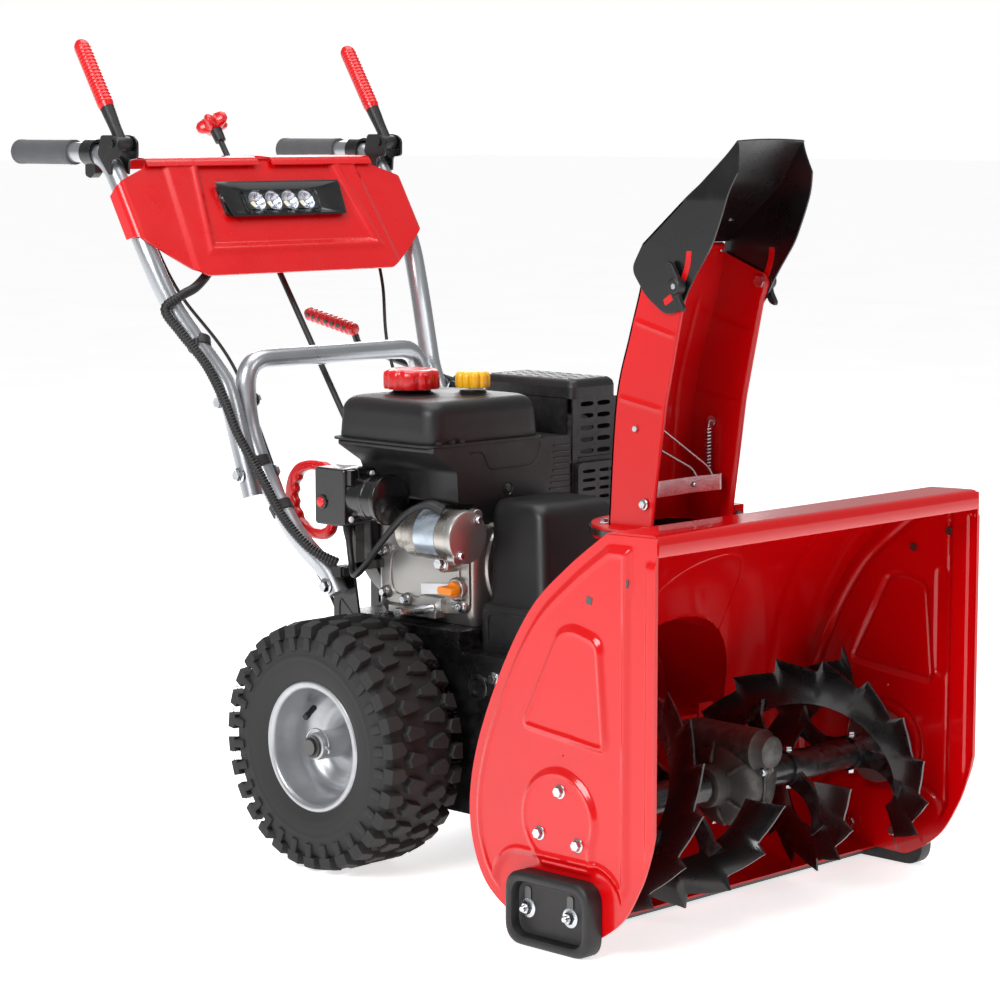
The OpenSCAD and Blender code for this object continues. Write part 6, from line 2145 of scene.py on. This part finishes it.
@dataclass
class Dash:
    """The red dash panel with its raised ridges, recessed middle and lamp."""

    half: float = 256.0
    roll_r: float = 11.0
    wing: float = 16.0
    lamp: tuple = (12.0, 365.3, 865.0)
    tilt: float = 30.69

    def front(self) -> Shape:
        """The leaning front sheet as one pressed skin.

        Over (u, v), u across and v up the lean, the point lies on the leaning plane and is
        raised along its normal by the ridge round a sunk middle field. The top edge rises
        between two shoulders and the bottom edge is cut back towards the sides. Past the half
        width the sheet rolls back round the tubes: a quarter circle and then a straight wing.

        Returns:
            The piece as a shape.
        """
        n, m = 150, 290
        u = np.linspace(-1, 1, m)[None]
        t = np.linspace(0, 1, n)[:, None]
        quarter = self.roll_r * np.pi / 2
        along = (self.half + quarter + self.wing) * u + 0 * t
        past = np.clip(np.abs(along) - self.half, 0, None)
        turn = np.clip(past / self.roll_r, 0, np.pi / 2)
        x = np.sign(along) * (np.minimum(np.abs(along), self.half) + self.roll_r * np.sin(turn))
        back = self.roll_r * (1 - np.cos(turn)) + np.clip(past - quarter, 0, None)
        low = 765 + 58 * np.clip((np.abs(x) - 172) / 94, 0, 1) ** 1.2 + 0.25 * back
        shoulder = smooth(np.abs(x), 204, 218)
        high = 921 - 8 * shoulder - 18 * np.clip((np.abs(x) - 214) / 52, 0, 1) - 0.25 * back
        z = low + (high - low) * t
        y = 306 + (z - 765) * (92 / 155)
        recess_low = 806 + 0 * x
        inside = np.minimum(np.minimum(150 - np.abs(x - 6) - 0.22 * (z - 806), z - recess_low), 925 - z)
        lift = -5.0 * smooth(inside, -5, 5) + 2.0 * np.exp(-((inside + 7) / 5) ** 2)
        field = 184 - np.abs(x) - 0.1 * (z - 850)
        lift += 3.4 * smooth(field, -6, 6)
        normal = np.array([0, -155.0, 92.0]) / np.hypot(155, 92)
        p = np.stack([x, y, z], axis=-1) + normal * (lift - 3.6 - back)[..., None]
        hole = (np.abs(x - self.lamp[0]) < 108) & (np.abs((z - self.lamp[2])) < 18)
        outward = normal * np.cos(turn)[..., None]
        outward[..., 0] += np.sign(along) * np.sin(turn)
        keep = ~(hole[:-1, :-1] & hole[1:, :-1] & hole[1:, 1:] & hole[:-1, 1:])
        return Shape().bordered(p, p - 2.6 * outward, keep)

    def shelf(self) -> Shape:
        """The top shelf, which rolls over from the front sheet's upper edge to the rear.

        It is notched for the shift rod, so it is two plates with a strip behind the notch.

        Returns:
            The piece as a shape.
        """
        made = Shape()
        line = rounded([(392, 914), (399, 924.5), (420, 925.6), (476, 925.8), (476, 908)], 7, 5)
        line = resampled(line, 40)
        for lo, hi in ((-210, -8), (18, 210)):
            x = np.linspace(lo, hi, 60)
            made.slab(spread(x, line), spread(x, line - 2.6 * upright(line)))
        made.prism("x", np.array([(452, 925.6), (476, 925.8), (476, 908), (470, 908), (470, 920),
                                  (452, 921)]), -9, 19)
        return made

    def in_lamp(self, p: Array) -> Array:
        """Points of the lamp's own frame (across, depth, up) turned to the lean and put in place."""
        return turned(np.asarray(p, float), (1, 0, 0), -np.radians(self.tilt)) + np.array(self.lamp)

    def build(self) -> None:
        """Make the panel and its lamp."""
        panel = Shape().joined(self.front()).joined(self.shelf())
        panel.finish("dash_panel_skin", "frame", RED_PLASTIC, "red_plastic", "dash_panel", sharp=48)
        bezel = Shape()
        t = np.linspace(0, TAU, 48, endpoint=False) + 0.01

        def box_edge(a: float, b: float, taper: float = 0.0) -> Array:
            """A rectangle's outline at 48 angles, narrower at its foot by the taper.

            Args:
                a: Half its width, in millimetres.
                b: Half its height.
                taper: The share by which its foot is narrower.

            Returns:
                The result, point by point.
            """
            c, s = np.cos(t), np.sin(t)
            k = 1 / np.maximum(np.abs(c), np.abs(s))
            v = b * k * s
            return np.stack([a * k * c * (1 - taper * (b - v) / (2 * b)), v], axis=1)

        rows = [(box_edge(115, 27, 0.08), -1), (box_edge(117, 28, 0.08), -3.4),
                (box_edge(113, 25, 0.08), -4.4),
                (box_edge(76, 19), 2.5), (box_edge(70, 15.5), 4), (box_edge(70, 15.5), 16),
                (box_edge(112, 23), 16.5),
                (box_edge(112, 23), 0)]
        bezel.grid(np.stack([placed("y", e, d) for e, d in rows]), wrap_u=True, wrap_v=True)
        bezel.moved(self.in_lamp).finish("headlight_bezel", "frame", GLOSS_PLASTIC, "black_gloss",
                                         "headlight", sharp=28)
        tray = Shape().loft("y", [box_edge(69, 15), box_edge(69, 15), box_edge(69, 15)], [15, 16, 20])
        cups, diodes = Shape(), Shape()
        for x in (-46.5, -15.5, 15.5, 46.5):
            r = np.linspace(0, 1, 14)
            wall = np.stack([15 - 11 * r**2, 2 + 11.6 * r], axis=1)
            cups.lathe(np.vstack([wall, [(3.6, 14.6), (16, 14.6), (16, 2)]]), (x, 0, 0), (0, 1, 0), 40,
                       ring=True)
            diodes.lathe([(15.5, 0), (15.5, 4), (12, 3.4), (10.4, 1.4), (10.2, 0)], (x, 0, 0), (0, 1, 0), 24)
        tray.moved(self.in_lamp).finish("headlight_tray", "frame", MIRROR, "black_gloss")
        cups.moved(self.in_lamp).finish("headlight_reflectors", "frame", MIRROR, "zinc", sharp=50)
        diodes.moved(self.in_lamp).finish("headlight_diodes", "frame", DIODE, "zinc")
        lens = Shape().loft("y", [box_edge(69.5, 15.2), box_edge(69.5, 15.2)], [1.0, 2.6])
        lens.moved(self.in_lamp).finish("headlight_lens", "frame", LENS, "black_gloss")
        self.shift_lever()
        self.crank()

    @staticmethod
    def shift_lever() -> None:
        """The thin shift rod and its red star knob."""
        rod = Shape().collar(-3, 13, (5.1, 9), (0, 150, 345), (1, 0, 0), 24)
        rod.tube(resampled(rounded([(5, 156, 352), (5, 184, 495), (5, 506, 966)], 24, 8), 60), 4.4, 14,
                 up=(1, 0, 0))
        rod.rod(-14, 24, 4.9, (0, 150, 345), (1, 0, 0), 20)
        top = np.array([5.0, 506, 966])
        d = unit(np.array([0, 322.0, 471]))
        rod.lathe([(-26, 4.4), (-24, 8), (-4, 9), (-2, 6)], top, d, 24)
        rod.finish("shift_lever_rod", "shift_lever_set", PLASTIC, "black_plastic", "shift_lever", sharp=50)
        t = TAU * np.arange(150) / 150
        star = 0.80 + 0.2 * np.cos(5 * t)
        u, v = np.array([1.0, 0, 0]), np.cross(d, [1.0, 0, 0])
        rows = []
        for s, r in ((-6, 6), (-5, 13), (-2, 21), (2, 25), (9, 25.5), (14, 22), (17, 15), (18, 6)):
            shape = 1 + (star - 1) * smooth(np.array(r), 7, 18)
            ring = (r * shape)[:, None] * (np.cos(t)[:, None] * u + np.sin(t)[:, None] * v)
            rows.append(top + s * d + ring)
        Shape().grid(np.stack(rows), wrap_v=True, caps=True).finish("shift_lever_star_knob",
                                                                    "shift_lever_set", RED_PLASTIC,
                                                                    "red_plastic", sharp=60)

    @staticmethod
    def crank() -> None:
        """The chute crank's rod and its red grip, with a row of dark discs as painted shade for the finger
        holes in it.
        """
        joint, crank = np.array([224.0, -171, 520]), np.array([228.0, 445, 640])
        u = unit(crank - joint)
        off = np.array([-14.0, -4, 26])
        rod = Shape().tube(resampled(rounded(np.stack([joint + 7 * u, crank - 3 * u, crank - 3 * u + off,
                                                       crank + 96 * u + off]),
                                             9, 8), 90), 5.4, 16, up=(1, 0, 0))
        rod.finish("chute_crank_rod", "crank_rod", BLACK_PAINT, "black_paint", sharp=50)
        s = np.linspace(-8, 104, 90)
        r = 10 - 0.9 * np.cos(s * 0.56) - 4 * smooth(s, 98, 104) - 3 * (1 - smooth(s, -8, -2))
        grip = Shape().lathe(np.vstack([[(-8, 0)], np.stack([s, r], axis=1), [(104, 0)]]), crank + off, u, 36)
        grip.finish("chute_crank_grip", "crank_rod", RED_PLASTIC, "red_plastic", "chute_crank", sharp=60)
        side = unit(np.cross(u, [0, 0, 1.0]))
        # The finger holes are dark discs at the grip's surface: painted shade.
        holes = Shape()
        for k in range(7):
            at = crank + off + (8 + 14 * k) * u
            for s2 in (-1, 1):
                holes.lathe([(8.2, 0), (8.2, 3.6), (10.9, 3.6), (11.1, 3.0), (11.1, 0)], at, s2 * side, 18)
        holes.finish("chute_crank_grip_hole_shade", "crank_rod", DARK_STEEL, "dark_steel")


# ---------------------------------------------------------------- cables, chassis and the rest
@dataclass
class Wiring:
    """The corrugated conduit with its clips, the starter lead and the control cables."""

    harness: list = field(default_factory=lambda: [
        (-120, 350, 806), (-150, 334, 772), (-190, 316, 750), (-232, 297, 740), (-257, 302, 722),
                                                   (-246, 282, 690),
        (-228, 252, 648), (-220, 224, 600), (-214, 204, 556), (-196, 178, 500), (-190, 142, 448),
                                                   (-176, 104, 408),
        (-152, 74, 388)])
    lead: list = field(default_factory=lambda: [
        (-152, -128, 477), (-162, -110, 484), (-177, -84, 470), (-185, -50, 434), (-185, -16, 398),
                                                (-177, 14, 381),
        (-164, 34, 396), (-158, 48, 444)])

    def build(self) -> None:
        """Make the conduit, lead, clips, connector and cables."""
        path = resampled(spline(self.harness, 12), 700)
        ridge = 6.4 + 0.5 * np.cos(np.arange(700) * TAU / 5.0)
        made = Shape().tube(path, ridge, 16, up=(0.9, 0.3, 0.1))
        made.cuboid((-158, 62, 370), (-134, 78, 384))
        made.prism("y", rect(-156, -136, 372, 383, 3), 58, 82)
        made.finish("wiring_harness_conduit", "frame", RUBBER, "black_rubber", "wiring_harness", sharp=70)
        lead = resampled(spline(self.lead, 14), 120)
        radius = 4.5 + 3.2 * (1 - smooth(np.arange(120), 4, 16)) + 2.0 * smooth(np.arange(120), 108, 116)
        Shape().tube(lead, radius, 20, up=(1, 0.2, 0.1)).finish("starter_lead_cable", "frame", RUBBER,
                                                                "black_rubber", sharp=60)
        clips = Shape()
        for at, d in (((-213, 284, 674), (0.4, 0.62, 0.9)), ((-168, 214, 512), (0, 0.5, 0.86)),
                      ((-165, 172, 454), (0, 0.64, 0.77))):
            clips.collar(-7, 7, (14.3, 16.2), at, d, 36)
            clips.rod(-4, 4, 4, np.array(at) + (-14, -10, 4), d, 12)
        clips.finish("harness_clips", "frame", PLASTIC, "black_plastic")
        cables = Shape()
        for s in (-1, 1):
            line = np.array([(222, 414, 900), (216, 404, 860), (205, 382, 800), (190, 348, 735),
                             (148, 290, 640),
                             (139, 215, 500), (138, 158, 400), (120, 124, 335), (112, 113, 300)],
                            float) * (s, 1, 1)
            cables.tube(resampled(spline(line, 10), 130), 2.4, 12, up=(1, 0, 0))
        cables.finish("control_cable_sheaths", "frame", RUBBER, "black_rubber", "control_cables", sharp=70)


@dataclass
class Chassis:
    """The steel chassis box with its bolts, and the clean-out tool in its clips."""

    def build(self) -> None:
        """Make the eased chassis, its trim and the clean-out tool."""
        refined("chassis_frame", "chassis_frame_plates", "frame", BLACK_PAINT, bevel=1.0)
        trim, dark = Shape(), Shape()
        for s in (-1, 1):
            dark.lathe([(0, 4.0), (0, 13), (2, 14), (4, 13), (4, 4.0)], (s * 127, -92, 235), (s, 0, 0), 32,
                       ring=True)
            for y, z in ((-196, 118), (-196, 262), (84, 118), (84, 286), (-40, 286)):
                trim.bolt((s * 127, y, z), (s, 0, 0), 6.4, 4.6, washer=9)
            flange = [(0, 0), (0, 12.5), (1.4, 12.5), (2.4, 10), (2.4, 0)]
            dark.lathe(flange, (s * 127, -212, 232), (s, 0, 0), 32)
            dark.bolt((s * 129.4, -212, 232), (s, 0, 0), 8.6, 7)
            dark.lathe([(0, 11), (0, 17), (2.6, 17), (3.2, 16), (3.2, 11)], (s * 127, -168, 248), (s, 0, 0),
                       32, ring=True)
            seam = rounded([(-232, 96), (-232, 278), (-140, 284), (-128, 306), (60, 306), (100, 340),
                            (100, 96)], 12, 5, True)
            path = placed("x", resampled(seam, 220, True), s * 127.2)
            dark.grid(np.stack([path, path + (s * 1.0, 0, 0),
                                (path - (0, -60, 190)) * (1, 0.985, 0.985) + (0, -60, 190)
                                + (s * 1.0, 0, 0)]), wrap_v=True)
        trim.finish("chassis_bolts", "frame", ZINC, "zinc")
        dark.finish("chassis_nuts_and_seams", "frame", BLACK_PAINT, "black_paint")
        tool = Shape()
        s = np.linspace(-250, -108, 120)
        r = 11 - 1.1 * np.cos((s + 250) * 0.42) * (s < -150) - 5 * (1 - smooth(s, -250, -245))
        tool.lathe(np.vstack([[(-250, 0)], np.stack([s, r + 2.2 * (s > -124)], axis=1), [(-108, 0)]]),
                   (0, -398, 396), (1, 0, 0),
                   36)
        for x in (-236, -160):
            tool.prism("x", rounded([(-408, 372), (-386, 372), (-386, 392), (-408, 392)], 3, 3, True), x,
                       x + 14)
        tool.finish("cleanout_tool_handle", "frame", RED_PLASTIC, "red_plastic", "cleanout_tool", sharp=50)


# ---------------------------------------------------------------- carried over
CARRIED = {
    "chassis_cover": BLACK_PAINT, "scraper_bar": DARK_STEEL,
    "shaft_bearings": CAST, "muffler": DARK_STEEL,
    "transmission": CAST, "drive_belts": RUBBER,
    "axle_shaft": DARK_STEEL, "auger_shaft": DARK_STEEL,
    "impeller": RED_DUCT, "impeller_shaft": ZINC,
    "engine_pulley": ZINC, "chute_ring": BLACK_PAINT,
    "crank_worm": DARK_STEEL,
}


def dress_carried() -> None:
    """Give every CAD node that is still shown a node material in place of its plain colour."""
    for name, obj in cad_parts.items():
        if obj.hide_render:
            continue
        finish = CARRIED.get(name, DARK_STEEL)
        obj.data.materials.clear()
        obj.data.materials.append(finish.material())
        LOG.info("%s: carried over in %s", name, finish.name)


def main() -> None:
    """Build the studio and each sub-assembly."""
    logging.basicConfig(level=logging.INFO, format="%(message)s", stream=sys.stdout)
    Studio().build()
    for made in (Housing(), Auger(), Chute(), Deflector(), Wheel(), Engine(), Handles(), Dash(), Wiring(),
                 Chassis()):
        made.build()
    dress_carried()


if __name__ == "__main__":
    main()
